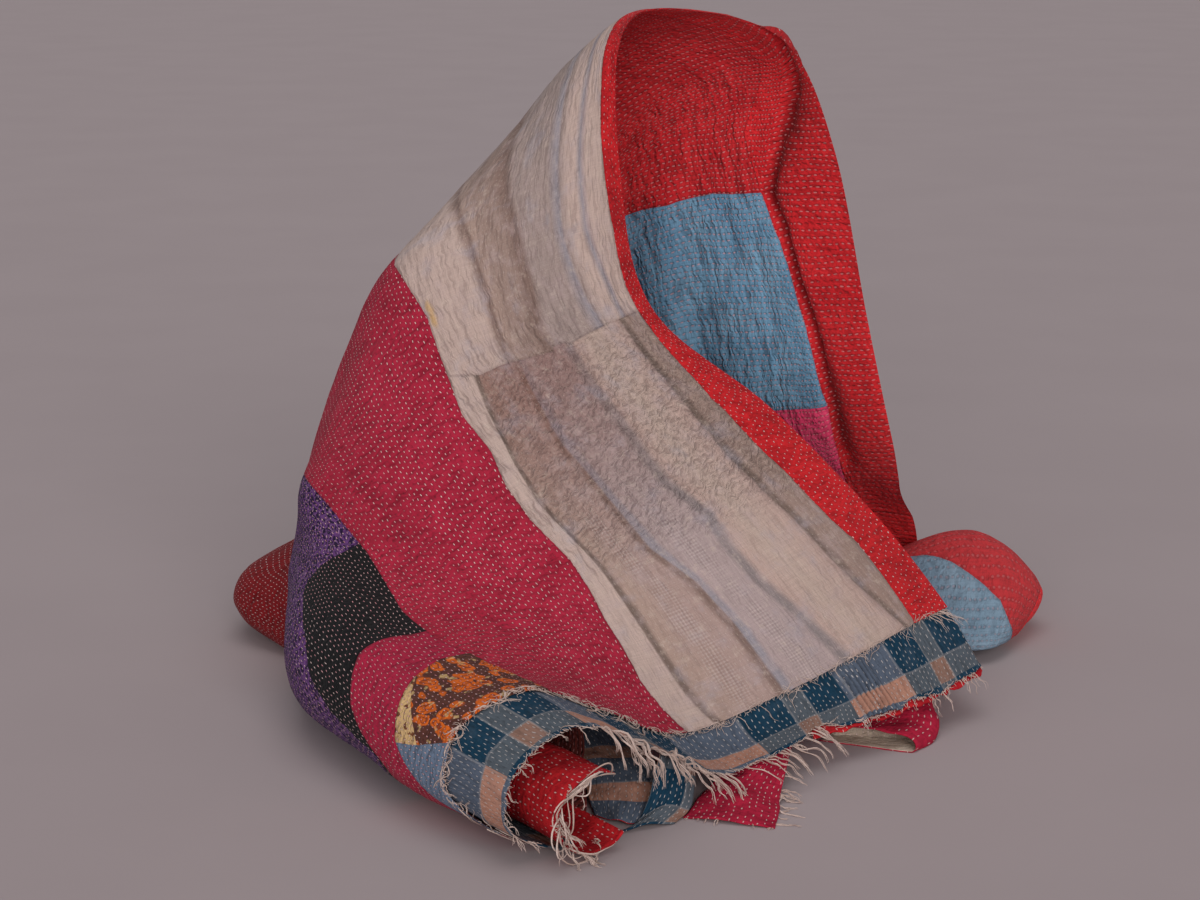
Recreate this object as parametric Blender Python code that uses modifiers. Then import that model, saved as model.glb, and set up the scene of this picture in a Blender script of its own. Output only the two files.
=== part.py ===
"""A hand-quilted kantha throw that stands as a draped hood, one long margin rolled, one end frayed.

Metres, +Z up, the floor at z = 0. The cloth is a loft: SECTIONS holds one row for each crosswise
section, from the frayed end, up the front flap, over the crown and down the back to the far end.
The layers that show past the frayed end, and the fringes, follow the same loft.
"""

import math
import random
from collections import namedtuple

import bmesh
import bpy
import numpy as np
from mathutils import Matrix

CENTRE = (0.0147, 0.2123)       # plan middle of the tables below, which becomes the origin

# Thickness of each cloth, and the gap kept between two
QUILT_THICKNESS = 0.0032
PLAID_THICKNESS = 0.0016
LAYER_THICKNESS = 0.0016
LAYER_GAP = 0.0012
SEAT_GAP = 0.0005               # left where a loose end meets the cloth that it hangs from
SETTLE = 0.0025                 # how far soft cloth flattens where it meets the floor

# Roll along the left front: the cloth's long margin, rolled under
ROLL_ACROSS = (0.82, 0.57)      # plan direction across the roll, from its outer side to its inner
ROLL_START_DEG = 78.0
ROLL_FULL_DEG = 192.0           # the first stretch keeps its full size, down to the floor
ROLL_PITCH = 0.024              # past it, how far a turn lies inside the one before
TUCK_POINTS = 7

# Upright flutes of the back wall
FLUTE_DEPTH = 0.016
FLUTE_COUNT = 13
HOOD_CENTRE = (-0.02, 0.40)
HOOD_HEIGHT = 0.78

# A row for each section of the cloth, a column for each line along it; (x, y, z).
Section = namedtuple("Section", "name edge rim band middle seam side patch")
SECTIONS = (
    Section("plaid_end", (0.405, 0.203, 0.055), (0.362, 0.158, 0.050), (0.296, 0.094, 0.047),
            (0.196, 0.020, 0.046), (0.096, -0.062, 0.036), (0.022, -0.120, 0.085),
            (-0.045, -0.185, 0.132)),
    Section("hem", (0.374, 0.296, 0.100), (0.330, 0.248, 0.096), (0.262, 0.176, 0.085),
            (0.170, 0.092, 0.068), (0.053, 0.022, 0.046), (-0.030, -0.045, 0.096),
            (-0.105, -0.105, 0.140)),
    Section("knee", (0.287, 0.306, 0.210), (0.245, 0.262, 0.205), (0.175, 0.205, 0.190),
            (0.090, 0.150, 0.165), (-0.014, 0.097, 0.140), (-0.100, 0.045, 0.138),
            (-0.182, 0.003, 0.140)),
    Section("flap", (0.162, 0.310, 0.338), (0.125, 0.285, 0.335), (0.060, 0.250, 0.320),
            (-0.020, 0.215, 0.295), (-0.113, 0.190, 0.257), (-0.200, 0.160, 0.222),
            (-0.280, 0.165, 0.178)),
    Section("breast", (0.026, 0.327, 0.450), (0.000, 0.305, 0.450), (-0.060, 0.280, 0.445),
            (-0.130, 0.270, 0.420), (-0.212, 0.275, 0.380), (-0.296, 0.275, 0.320),
            (-0.372, 0.310, 0.245)),
    Section("neck", (-0.011, 0.350, 0.600), (-0.035, 0.335, 0.605), (-0.090, 0.330, 0.585),
            (-0.165, 0.335, 0.550), (-0.270, 0.360, 0.490), (-0.337, 0.395, 0.372),
            (-0.386, 0.390, 0.240)),
    Section("brow", (-0.008, 0.360, 0.768), (-0.022, 0.380, 0.763), (-0.065, 0.400, 0.723),
            (-0.130, 0.420, 0.650), (-0.258, 0.440, 0.505), (-0.334, 0.465, 0.375),
            (-0.384, 0.460, 0.235)),
    Section("crown", (0.080, 0.385, 0.785), (0.050, 0.430, 0.775), (-0.010, 0.480, 0.742),
            (-0.090, 0.500, 0.675), (-0.225, 0.510, 0.515), (-0.312, 0.530, 0.375),
            (-0.370, 0.525, 0.230)),
    Section("nape", (0.183, 0.412, 0.745), (0.170, 0.458, 0.725), (0.105, 0.500, 0.708),
            (0.000, 0.550, 0.648), (-0.150, 0.560, 0.510), (-0.265, 0.565, 0.370),
            (-0.340, 0.570, 0.215)),
    Section("shoulder", (0.242, 0.430, 0.619), (0.185, 0.485, 0.612), (0.125, 0.520, 0.600),
            (0.020, 0.560, 0.570), (-0.115, 0.590, 0.460), (-0.230, 0.590, 0.330),
            (-0.310, 0.600, 0.190)),
    Section("back", (0.286, 0.440, 0.420), (0.230, 0.490, 0.410), (0.170, 0.530, 0.405),
            (0.060, 0.575, 0.390), (-0.065, 0.610, 0.335), (-0.180, 0.615, 0.245),
            (-0.280, 0.615, 0.150)),
    Section("waist", (0.324, 0.465, 0.262), (0.264, 0.512, 0.250), (0.200, 0.545, 0.235),
            (0.090, 0.605, 0.210), (-0.040, 0.640, 0.185), (-0.168, 0.643, 0.142),
            (-0.260, 0.635, 0.100)),
    Section("heel", (0.396, 0.668, 0.026), (0.345, 0.674, 0.042), (0.275, 0.676, 0.018),
            (0.160, 0.675, 0.000), (0.010, 0.675, 0.000), (-0.125, 0.665, 0.000),
            (-0.212, 0.645, 0.000)),
    Section("hump", (0.497, 0.545, 0.000), (0.521, 0.556, 0.058), (0.450, 0.560, 0.118),
            (0.320, 0.560, 0.080), (0.110, 0.590, 0.000), (-0.040, 0.610, 0.000),
            (-0.150, 0.632, 0.000)),
    Section("toe", (0.472, 0.485, 0.000), (0.487, 0.450, 0.020), (0.432, 0.378, 0.030),
            (0.310, 0.420, 0.030), (0.100, 0.510, 0.000), (-0.010, 0.560, 0.000),
            (-0.100, 0.605, 0.000)),
    Section("end", (0.440, 0.500, 0.000), (0.455, 0.470, 0.008), (0.415, 0.425, 0.014),
            (0.300, 0.455, 0.008), (0.095, 0.480, 0.000), (0.010, 0.525, 0.000),
            (-0.065, 0.580, 0.000)),
)
PLAID_END, HEM, FAR_END = 0, 1, len(SECTIONS) - 1
PATCH_LINE = 6

# Where the margin below the patch line is rolled: half the roll's width, how far it leans out, and
# how many degrees it turns from one line to the next.
Roll = namedtuple("Roll", "name half_width lean step_deg")
ROLLS = (
    Roll("plaid_end", 0.084, 0.016, 64.0),
    Roll("hem", 0.090, 0.016, 64.0),
    Roll("knee", 0.094, 0.016, 56.0),
    Roll("flap", 0.096, 0.020, 44.0),
)


# Where it hangs instead: down to the knee, out to a folded tip and back under along the floor.
Skirt = namedtuple("Skirt", "name knee tip half_fold foot inner")
SKIRTS = (
    Skirt("breast", (-0.398, 0.285, 0.130), (-0.388, 0.250, 0.040), 0.020,
          (-0.345, 0.240, 0.000), (-0.250, 0.260, 0.000)),
    Skirt("neck", (-0.400, 0.375, 0.120), (-0.392, 0.365, 0.035), 0.018,
          (-0.360, 0.365, 0.000), (-0.300, 0.365, 0.000)),
    Skirt("brow", (-0.400, 0.455, 0.130), (-0.482, 0.470, 0.052), 0.022,
          (-0.430, 0.455, 0.000), (-0.340, 0.440, 0.000)),
    Skirt("crown", (-0.398, 0.540, 0.130), (-0.472, 0.560, 0.052), 0.022,
          (-0.420, 0.530, 0.000), (-0.320, 0.500, 0.000)),
    Skirt("nape", (-0.375, 0.605, 0.120), (-0.425, 0.640, 0.046), 0.020,
          (-0.385, 0.600, 0.000), (-0.295, 0.530, 0.000)),
    Skirt("shoulder", (-0.345, 0.640, 0.110), (-0.366, 0.662, 0.038), 0.018,
          (-0.340, 0.625, 0.000), (-0.278, 0.555, 0.000)),
    Skirt("back", (-0.305, 0.645, 0.090), (-0.316, 0.660, 0.032), 0.014,
          (-0.292, 0.636, 0.000), (-0.248, 0.582, 0.000)),
    Skirt("waist", (-0.288, 0.644, 0.044), (-0.282, 0.640, 0.020), 0.008,
          (-0.258, 0.622, 0.000), (-0.236, 0.600, 0.000)),
)

# Where it lies flat on the floor inside the hood: the inner end of each section.
FLOOR_INNER = {
    "heel": (-0.205, 0.590, 0.000),
    "hump": (-0.140, 0.595, 0.000),
    "toe": (-0.092, 0.570, 0.000),
    "end": (-0.058, 0.548, 0.000),
}

# Steps of the quilt's mesh in each interval between sections, and between lines along the cloth
QUILT_ROW_STEPS = (5, 5, 5, 4, 4, 4, 4, 4, 5, 5, 4, 3, 3, 1)
QUILT_COLUMN_STEPS = (2, 3, 3, 4, 3, 3, 3, 3, 2, 3, 3, 3, 3)

# The quilt's frayed end runs on past the hem line under the roll, as a lip.
LIP_REACH = 0.80
LIP_FROM, LIP_FULL, LIP_TO = 7.8, 9.0, 9.9

# The plaid inner cloth and the red backing that show past the frayed end (rows, then lines)
PLAID_ROWS, PLAID_LAST_LINE = (0.06, 1.14), 9
BACKING_ROWS, BACKING_LAST_LINE = (0.0, 1.08), 3


def roll_points(patch, roll):
    """The rolled margin: an oval spiral that starts at the patch line and turns out, down and under."""
    start = math.radians(ROLL_START_DEG)
    half_height = (patch[2] - QUILT_THICKNESS / 2) / (1 + math.sin(start))
    middle_height = patch[2] - half_height * math.sin(start)
    points = []
    for step in range(1, TUCK_POINTS + 1):
        turned = roll.step_deg * step
        angle = start + math.radians(turned)
        inset = ROLL_PITCH * max(turned - ROLL_FULL_DEG, 0.0) / 360.0
        across = (roll.half_width - inset) * math.cos(angle) - roll.lean
        up = (half_height - inset) * math.sin(angle)
        points.append((patch[0] + ROLL_ACROSS[0] * across, patch[1] + ROLL_ACROSS[1] * across,
                       middle_height + up))
    return points


def skirt_points(patch, skirt):
    """The hanging margin: knee, folded tip, foot and inner end, with the points halfway between."""
    knee, tip, foot, inner = (np.array(p) for p in (skirt.knee, skirt.tip, skirt.foot, skirt.inner))
    lift = np.array((0.0, 0.0, skirt.half_fold))
    return [(np.array(patch) + knee) / 2, knee, tip + lift, tip - lift, foot, (foot + inner) / 2, inner]


def floor_points(patch, inner):
    """The margin laid on the floor, in shortening steps from the patch line to its inner end."""
    share = 1 - (1 - np.arange(1, TUCK_POINTS + 1)[:, None] / TUCK_POINTS) ** 1.6
    return np.array(patch) * (1 - share) + np.array(inner) * share


def control_net():
    """Rows of points across the cloth, one row for each section."""
    rolls = {roll.name: roll for roll in ROLLS}
    skirts = {skirt.name: skirt for skirt in SKIRTS}
    rows = []
    for section in SECTIONS:
        if section.name in rolls:
            margin = roll_points(section.patch, rolls[section.name])
        elif section.name in skirts:
            margin = skirt_points(section.patch, skirts[section.name])
        else:
            margin = floor_points(section.patch, FLOOR_INNER[section.name])
        rows.append(list(section[1:]) + list(margin))
    return np.array(rows, float)


def curve_weights(places, last):
    """Which four points a Catmull-Rom curve reads at these places, and the weight of each."""
    start = np.clip(np.floor(places).astype(int), 0, last - 1)
    t = places - start
    weights = (-t + 2 * t**2 - t**3, 2 - 5 * t**2 + 3 * t**3, t + 4 * t**2 - 3 * t**3, -t**2 + t**3)
    return start, [w / 2 for w in weights]


def padded(net, axis):
    """The net with one more point past each end, straight on."""
    first, second = np.take(net, [0], axis), np.take(net, [1], axis)
    last, before = np.take(net, [-1], axis), np.take(net, [-2], axis)
    return np.concatenate([2 * first - second, net, 2 * last - before], axis)


def flutes(points):
    """The back wall's flutes: in and out from the hood's middle, deepest halfway to the floor."""
    away = points[..., :2] - np.array(HOOD_CENTRE)
    reach = np.linalg.norm(away, axis=-1) + 1e-9
    turn = np.arctan2(away[..., 1], away[..., 0])
    height = points[..., 2]
    fade = np.clip(1 - height / HOOD_HEIGHT, 0, 1) * np.clip(height / 0.08, 0, 1)
    behind = np.clip((points[..., 1] - 0.52) / 0.06, 0, 1)
    wave = FLUTE_DEPTH * fade * behind * np.cos(FLUTE_COUNT * turn)
    moved = points.copy()
    moved[..., :2] += away / reach[..., None] * wave[..., None]
    return moved


def cloth(rows, lines):
    """Points of the cloth's middle surface at these row and line places, two arrays of one shape."""
    net = padded(padded(control_net(), 0), 1)
    row, row_weights = curve_weights(np.asarray(rows, float), len(SECTIONS) - 1)
    line, line_weights = curve_weights(np.asarray(lines, float), PATCH_LINE + TUCK_POINTS)
    points = 0
    for down, row_weight in enumerate(row_weights):
        for over, line_weight in enumerate(line_weights):
            points = points + net[row + down, line + over] * (row_weight * line_weight)[..., None]
    points = flutes(points)
    points[..., 2] = np.maximum(points[..., 2] - SETTLE, QUILT_THICKNESS / 2)
    return points


def normals(grid):
    """Unit normals of a grid of points, on the patchwork face of the cloth."""
    n = np.cross(np.gradient(grid, axis=0), np.gradient(grid, axis=1))
    return n / (np.linalg.norm(n, axis=-1, keepdims=True) + 1e-12)


def places(counts, first=0):
    """Row or line places with this many steps in each interval."""
    steps = [first + k + np.arange(n) / n for k, n in enumerate(counts)]
    return np.concatenate(steps + [[first + len(counts)]])


def lip(lines):
    """How far, in rows, the quilt's frayed end runs past the hem line: only under the roll."""
    rise = np.clip((lines - LIP_FROM) / (LIP_FULL - LIP_FROM), 0, 1)
    fall = np.clip((LIP_TO - lines) / (LIP_TO - LIP_FULL), 0, 1)
    return LIP_REACH * np.sin(np.minimum(rise, fall) * math.pi / 2)


def quilt_grid():
    """The quilt's middle surface, its first rows drawn out to the lip."""
    rows, lines = np.meshgrid(places(QUILT_ROW_STEPS, HEM), places(QUILT_COLUMN_STEPS), indexing="ij")
    first = np.clip(2 - rows, 0, 1)
    return cloth(rows - lip(lines) * first, lines)


def layer_grid(row_span, row_steps, last_line, below):
    """A layer this far below the quilt's middle surface, from the edge as far as this line."""
    rows, lines = np.meshgrid(np.linspace(*row_span, row_steps + 1),
                              places(QUILT_COLUMN_STEPS[:last_line]), indexing="ij")
    grid = cloth(rows, lines)
    return grid - normals(grid) * below


def station_below(row, lines, below):
    """Points this far below the quilt's middle surface at one row place, with x growing along them."""
    rows, over = np.meshgrid([row - 0.02, row, row + 0.02], sorted(lines), indexing="ij")
    grid = cloth(rows, over)
    return (grid - normals(grid) * below)[1, ::-1]


def cloth_material(name, colour, roughness=0.9):
    """A plain dyed cotton."""
    material = bpy.data.materials.new(name)
    material.use_nodes = True
    shader = material.node_tree.nodes["Principled BSDF"]
    shader.inputs["Base Color"].default_value = (*colour, 1.0)
    shader.inputs["Roughness"].default_value = roughness
    shader.inputs["Metallic"].default_value = 0.0
    return material


def new_object(name, mesh, material, collection):
    """The mesh as a smooth-shaded object of the quilt's collection, moved onto the origin."""
    mesh.transform(Matrix.Translation((-CENTRE[0], -CENTRE[1], 0.0)))
    mesh.materials.append(material)
    mesh.shade_smooth()
    made = bpy.data.objects.new(name, mesh)
    collection.objects.link(made)
    return made


def grid_mesh(name, grid):
    """An open surface of quads through a grid of points."""
    down, over = grid.shape[:2]
    index = np.arange(down * over).reshape(down, over)
    quads = np.stack([index[:-1, :-1], index[1:, :-1], index[1:, 1:], index[:-1, 1:]], -1)
    mesh = bpy.data.meshes.new(name)
    mesh.from_pydata(grid.reshape(-1, 3).tolist(), [], quads.reshape(-1, 4).tolist())
    return mesh


def sheet(name, grid, thickness, material, collection):
    """A cloth of this thickness, half of it on each side of the grid."""
    made = new_object(name, grid_mesh(name, grid), material, collection)
    wall = made.modifiers.new("Thickness", "SOLIDIFY")
    wall.thickness = thickness
    wall.offset = 0.0
    return made


def loft(stations, steps):
    """A Catmull-Rom surface through a few stations of points, at these steps in each interval."""
    net = np.array(stations, float)
    rows, lines = np.meshgrid(places([steps[0]] * (net.shape[0] - 1)),
                              places([steps[1]] * (net.shape[1] - 1)), indexing="ij")
    row, row_weights = curve_weights(rows, net.shape[0] - 1)
    line, line_weights = curve_weights(lines, net.shape[1] - 1)
    net = padded(padded(net, 0), 1)
    points = 0
    for down, row_weight in enumerate(row_weights):
        for over, line_weight in enumerate(line_weights):
            points = points + net[row + down, line + over] * (row_weight * line_weight)[..., None]
    return points


# Crimson fold under the corner: a doubled end whose open mouth faces the front, and whose back hangs
# from the backing. A row for each station from the mouth back, a column for each line round the fold.
Mouth = namedtuple("Mouth", "low_start low_middle low_turn turn high_turn high_middle high_start")
CRIMSON_FOLD = (
    Mouth((0.205, 0.094, 0.000), (0.262, 0.066, 0.000), (0.312, 0.080, 0.000), (0.325, 0.090, 0.014),
          (0.310, 0.094, 0.027), (0.262, 0.082, 0.030), (0.212, 0.102, 0.026)),
    Mouth((0.226, 0.110, 0.000), (0.276, 0.104, 0.000), (0.326, 0.128, 0.000), (0.340, 0.136, 0.012),
          (0.325, 0.138, 0.024), (0.276, 0.118, 0.025), (0.230, 0.116, 0.024)),
)
FOLD_ROW, FOLD_LINES, FOLD_DEPTH = 0.80, (1.35, 1.80, 2.33), 0.012     # where it hangs from the backing

# Crimson flap: a torn end that lies on the floor in front and hangs from the plaid. A row for each
# station from its frayed front back.
Flap = namedtuple("Flap", "left centre right")
CRIMSON_FLAP = (
    Flap((0.050, -0.108, 0.000), (0.096, -0.124, 0.004), (0.142, -0.136, 0.000)),
    Flap((0.066, -0.072, 0.005), (0.108, -0.084, 0.013), (0.150, -0.092, 0.003)),
    Flap((0.078, -0.050, 0.010), (0.117, -0.056, 0.017), (0.153, -0.060, 0.007)),
)
FLAP_ROW, FLAP_LINES = 0.30, (3.15, 3.42, 3.70)

# Plaid flap: a torn tongue of the inner cloth between the roll and the crimson flap.
PLAID_FLAP = (
    Flap((-0.018, -0.150, 0.000), (0.012, -0.138, 0.006), (0.040, -0.124, 0.000)),
    Flap((0.008, -0.122, 0.010), (0.034, -0.108, 0.018), (0.058, -0.095, 0.008)),
)
TONGUE_ROW, TONGUE_LINES = 0.20, (4.25, 4.50, 4.75)

# Red curl: the core of the roll, which stands a little out of its end.
CURL_HALF_WIDTH, CURL_HALF_HEIGHT = 0.044, 0.040
CURL_SHIFT, CURL_RISE = 0.008, 0.0003
CURL_FROM_DEG, CURL_TO_DEG = 62.0, 318.0
CURL_STEPS = (3, 18)
CURL_ROWS = (-0.22, 0.90)


def fold_stations(below):
    """The crimson fold's stations: its mouth on the floor, then its back, this far below the quilt."""
    upper = station_below(FOLD_ROW, FOLD_LINES, below)
    lower = upper - [0.0, 0.0, FOLD_DEPTH]
    turn = (upper[-1:] + lower[-1:]) / 2 + [0.008, 0.0, 0.0]
    return list(CRIMSON_FOLD) + [np.concatenate([lower, turn, upper[::-1]])]


def rest_on_floor(grid, thickness):
    """The grid with nothing lower than half the cloth's thickness above the floor."""
    lifted = grid.copy()
    lifted[..., 2] = np.maximum(lifted[..., 2], thickness / 2)
    return lifted


def curl_grid():
    """The curl's middle surface: an open oval tube along the roll, resting inside its lowest turn."""
    rows = np.linspace(*CURL_ROWS, CURL_STEPS[0] + 1)
    lowest = QUILT_THICKNESS + LAYER_GAP + PLAID_THICKNESS + CURL_RISE + LAYER_THICKNESS / 2
    patch = np.array([section.patch for section in SECTIONS[:2]])
    lean = np.array([roll.lean for roll in ROLLS[:2]])
    middle = patch[:1] + (patch[1:] - patch[:1]) * rows[:, None]
    middle[:, :2] -= np.array(ROLL_ACROSS) * (lean[0] + (lean[1] - lean[0]) * rows[:, None])
    angle = np.radians(np.linspace(CURL_FROM_DEG, CURL_TO_DEG, CURL_STEPS[1] + 1))
    across = CURL_SHIFT + CURL_HALF_WIDTH * np.cos(angle)
    grid = np.zeros((len(rows), len(angle), 3))
    grid[..., 0] = middle[:, None, 0] + ROLL_ACROSS[0] * across
    grid[..., 1] = middle[:, None, 1] + ROLL_ACROSS[1] * across
    grid[..., 2] = lowest + CURL_HALF_HEIGHT * (1 + np.sin(angle))
    return grid

# Fringes: frayed warp ends along each torn edge, fused at their roots into a narrow strip.
STRIP_DEPTH = 0.0020
STRIP_HEIGHT = 0.0014
STRIP_GAP = 0.0004
STRAND_HALF = 0.0006
TIP_SHARE = 0.45
Fringe = namedtuple("Fringe", "name strands shortest longest droop spread seed")
FRINGES = (
    Fringe("fringe_hem", 44, 0.008, 0.020, -0.06, 0.22, 3),
    Fringe("fringe_plaid", 48, 0.014, 0.036, 0.35, 0.25, 5),
    Fringe("fringe_curl", 14, 0.014, 0.030, 0.30, 0.25, 7),
    Fringe("fringe_flap", 14, 0.012, 0.034, 0.00, 0.20, 11),
)


def resampled(points, count):
    """This many points at even spacing along a line of points."""
    run = np.concatenate([[0], np.cumsum(np.linalg.norm(np.diff(points, axis=0), axis=1))])
    wanted = np.linspace(0, run[-1], count)
    return np.stack([np.interp(wanted, run, points[:, k]) for k in range(3)], -1)


def unit(vectors):
    return vectors / (np.linalg.norm(vectors, axis=-1, keepdims=True) + 1e-12)


def fringe_mesh(fringe, edge, outward):
    """A strip along the edge, with a four-sided strand drawn from every second face of its front.

    Each strand has two lengths: straight out at a slant, then drooping to a thin tip.
    """
    chance = random.Random(fringe.seed)
    count = 2 * fringe.strands + 2
    root, out = resampled(edge, count), unit(resampled(outward, count))
    over = unit(np.gradient(root, axis=0))
    out = unit(out - (out * over).sum(-1, keepdims=True) * over)
    up = unit(np.cross(over, out))
    up = up * np.sign(up[:, 2:] + 1e-9)
    near, far = root + out * STRIP_GAP, root + out * (STRIP_GAP + STRIP_DEPTH)
    half = up * STRIP_HEIGHT / 2
    rings = np.stack([near - half, far - half, far + half, near + half], 1)
    floor = STRAND_HALF * 0.6
    rings[..., 2] = np.maximum(rings[..., 2], 0.0)
    points = rings.reshape(-1, 3).tolist()
    faces = [(3, 2, 1, 0), tuple(4 * (count - 1) + k for k in range(4))]
    for place in range(count - 1):
        here, there = 4 * place, 4 * (place + 1)
        for side in range(4):
            after = (side + 1) % 4
            if side != 1 or place % 2 == 0:
                faces.append((here + side, here + after, there + after, there + side))
        if place % 2 == 0:
            continue
        ring = [here + 1, here + 2, there + 2, there + 1]
        length = chance.uniform(fringe.shortest, fringe.longest)
        slant = chance.uniform(-1, 1) * fringe.spread
        middle = (rings[place, 1] + rings[place, 2] + rings[place + 1, 1] + rings[place + 1, 2]) / 4
        heading = unit(out[place] + over[place] * slant * 0.5)
        for share, sink, size in ((0.45, 0.3, 0.8), (1.0, 1.0, TIP_SHARE)):
            bend = over[place] * slant * length * share * share * 0.4
            centre = middle + heading * length * share + bend
            centre[2] = max(centre[2] - fringe.droop * length * sink, floor + STRAND_HALF * 0.4)
            half_out = STRAND_HALF * size
            corners = [centre - over[place] * half_out - up[place] * half_out,
                       centre - over[place] * half_out + up[place] * half_out,
                       centre + over[place] * half_out + up[place] * half_out,
                       centre + over[place] * half_out - up[place] * half_out]
            new = list(range(len(points), len(points) + 4))
            points += [[p[0], p[1], max(p[2], 0.0)] for p in corners]
            for side in range(4):
                after = (side + 1) % 4
                faces.append((ring[side], ring[after], new[after], new[side]))
            ring = new
        faces.append(tuple(ring))
    mesh = bpy.data.meshes.new(fringe.name)
    mesh.from_pydata(points, [], faces)
    worked = bmesh.new()
    worked.from_mesh(mesh)
    bmesh.ops.recalc_face_normals(worked, faces=worked.faces)
    if worked.calc_volume(signed=True) < 0:
        bmesh.ops.reverse_faces(worked, faces=worked.faces)
    worked.to_mesh(mesh)
    worked.free()
    return mesh


def edge_of(grid, last_line):
    """The first row of a grid as far as this line, and the way from its second row out past it."""
    reach = sum(QUILT_COLUMN_STEPS[:last_line]) + 1
    return grid[0, :reach], unit(grid[0] - grid[1])[:reach]


def flap_edge(grid):
    """The flap's frayed right side, from its front to halfway back."""
    reach = grid.shape[0] * 2 // 3
    return grid[:reach, -1], unit(grid[:reach, -1] - grid[:reach, -2])


def clear_scene():
    for old in list(bpy.data.objects):
        bpy.data.objects.remove(old, do_unlink=True)


def build():
    """Every piece of the quilt, in its own collection."""
    clear_scene()
    collection = bpy.data.collections.new("kantha_quilt")
    bpy.context.scene.collection.children.link(collection)
    patchwork = cloth_material("patchwork_cotton", (0.40, 0.20, 0.17))
    crimson = cloth_material("crimson_cotton", (0.37, 0.018, 0.045))
    plaid = cloth_material("plaid_cotton", (0.03, 0.10, 0.14))
    red = cloth_material("red_cotton", (0.48, 0.017, 0.022))
    thread = cloth_material("frayed_thread", (0.66, 0.58, 0.53))

    quilt = quilt_grid()
    sheet("quilt", quilt, QUILT_THICKNESS, patchwork, collection)
    below_quilt = QUILT_THICKNESS / 2 + LAYER_GAP + PLAID_THICKNESS / 2
    plaid_layer = layer_grid(PLAID_ROWS, 5, PLAID_LAST_LINE, below_quilt)
    sheet("plaid_layer", plaid_layer, PLAID_THICKNESS, plaid, collection)
    below_plaid = below_quilt + PLAID_THICKNESS / 2 + LAYER_GAP + LAYER_THICKNESS / 2
    backing = layer_grid(BACKING_ROWS, 4, BACKING_LAST_LINE, below_plaid)
    sheet("backing_layer", backing, LAYER_THICKNESS, red, collection)

    fold = loft(fold_stations(below_plaid + LAYER_THICKNESS + SEAT_GAP), (3, 3))
    fold = rest_on_floor(fold, LAYER_THICKNESS)
    sheet("crimson_fold", fold, LAYER_THICKNESS, crimson, collection)
    seat = below_quilt + PLAID_THICKNESS / 2 + SEAT_GAP + LAYER_THICKNESS / 2
    flap = list(CRIMSON_FLAP) + [station_below(FLAP_ROW, FLAP_LINES, seat)]
    flap = rest_on_floor(loft(flap, (3, 3)), LAYER_THICKNESS)
    sheet("crimson_flap", flap, LAYER_THICKNESS, crimson, collection)
    tongue = list(PLAID_FLAP) + [station_below(TONGUE_ROW, TONGUE_LINES, seat)]
    tongue = rest_on_floor(loft(tongue, (3, 3)), PLAID_THICKNESS)
    sheet("plaid_flap", tongue, PLAID_THICKNESS, plaid, collection)
    curl = curl_grid()
    sheet("red_curl", curl, LAYER_THICKNESS, red, collection)

    edges = (edge_of(quilt, 7), edge_of(plaid_layer, 7), (curl[0, 3:-5], unit(curl[0] - curl[1])[3:-5]),
             flap_edge(flap))
    for fringe, (edge, outward) in zip(FRINGES, edges):
        new_object(fringe.name, fringe_mesh(fringe, edge, outward), thread, collection)


build()
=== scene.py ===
"""Looks of a hand-quilted kantha throw that stands as a draped hood.

Metres, +Z up, the floor at z = 0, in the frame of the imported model. The sections follow the throw as it
is made up: the studio, the patched top, the lining, the inner layers that show past the frayed end, the
torn folds and flaps, the curl in the roll, the scrap that fills the roll, and the loose threads.
"""

import math
from collections import namedtuple

import bpy
import numpy as np
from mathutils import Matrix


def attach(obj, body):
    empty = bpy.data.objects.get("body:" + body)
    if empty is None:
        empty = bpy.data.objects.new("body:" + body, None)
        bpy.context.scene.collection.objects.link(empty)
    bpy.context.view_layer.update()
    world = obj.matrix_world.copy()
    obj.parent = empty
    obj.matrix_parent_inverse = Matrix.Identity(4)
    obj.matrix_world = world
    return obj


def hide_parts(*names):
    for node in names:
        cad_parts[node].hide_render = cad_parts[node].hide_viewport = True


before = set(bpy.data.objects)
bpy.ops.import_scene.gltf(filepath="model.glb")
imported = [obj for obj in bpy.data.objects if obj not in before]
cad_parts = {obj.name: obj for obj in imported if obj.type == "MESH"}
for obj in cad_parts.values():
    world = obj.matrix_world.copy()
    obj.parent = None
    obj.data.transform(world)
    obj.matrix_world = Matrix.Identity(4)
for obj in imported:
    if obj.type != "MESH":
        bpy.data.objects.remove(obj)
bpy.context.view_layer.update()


# ---------------------------------------------------------------------------------------------------
# Studio: a long lens looking 14 degrees down, a wide flat floor of pale grey paper, and soft light that
# comes mostly from the front. The lights are far off, so that the floor is lit alike all over.
# ---------------------------------------------------------------------------------------------------

CAMERA_PLACE = (-0.0497, -2.6123, 0.96)
CAMERA_DOWN_DEG = 14.0
CAMERA_LENS_MM = 72.0

camera_data = bpy.data.cameras.new("camera")
camera_data.lens = CAMERA_LENS_MM
camera_data.sensor_width = 36.0
camera = bpy.data.objects.new("camera", camera_data)
camera.location = CAMERA_PLACE
camera.rotation_euler = (math.radians(90.0 - CAMERA_DOWN_DEG), 0.0, 0.0)
bpy.context.scene.collection.objects.link(camera)
bpy.context.scene.camera = camera
bpy.context.scene.view_settings.view_transform = "Standard"


def linear(red, green, blue):
    """A colour given as the 0 to 255 values seen on a screen, turned to linear light."""
    share = np.array((red, green, blue)) / 255.0
    light = np.where(share <= 0.04045, share / 12.92, ((share + 0.055) / 1.055) ** 2.4)
    return (*(float(value) for value in light), 1.0)


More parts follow.
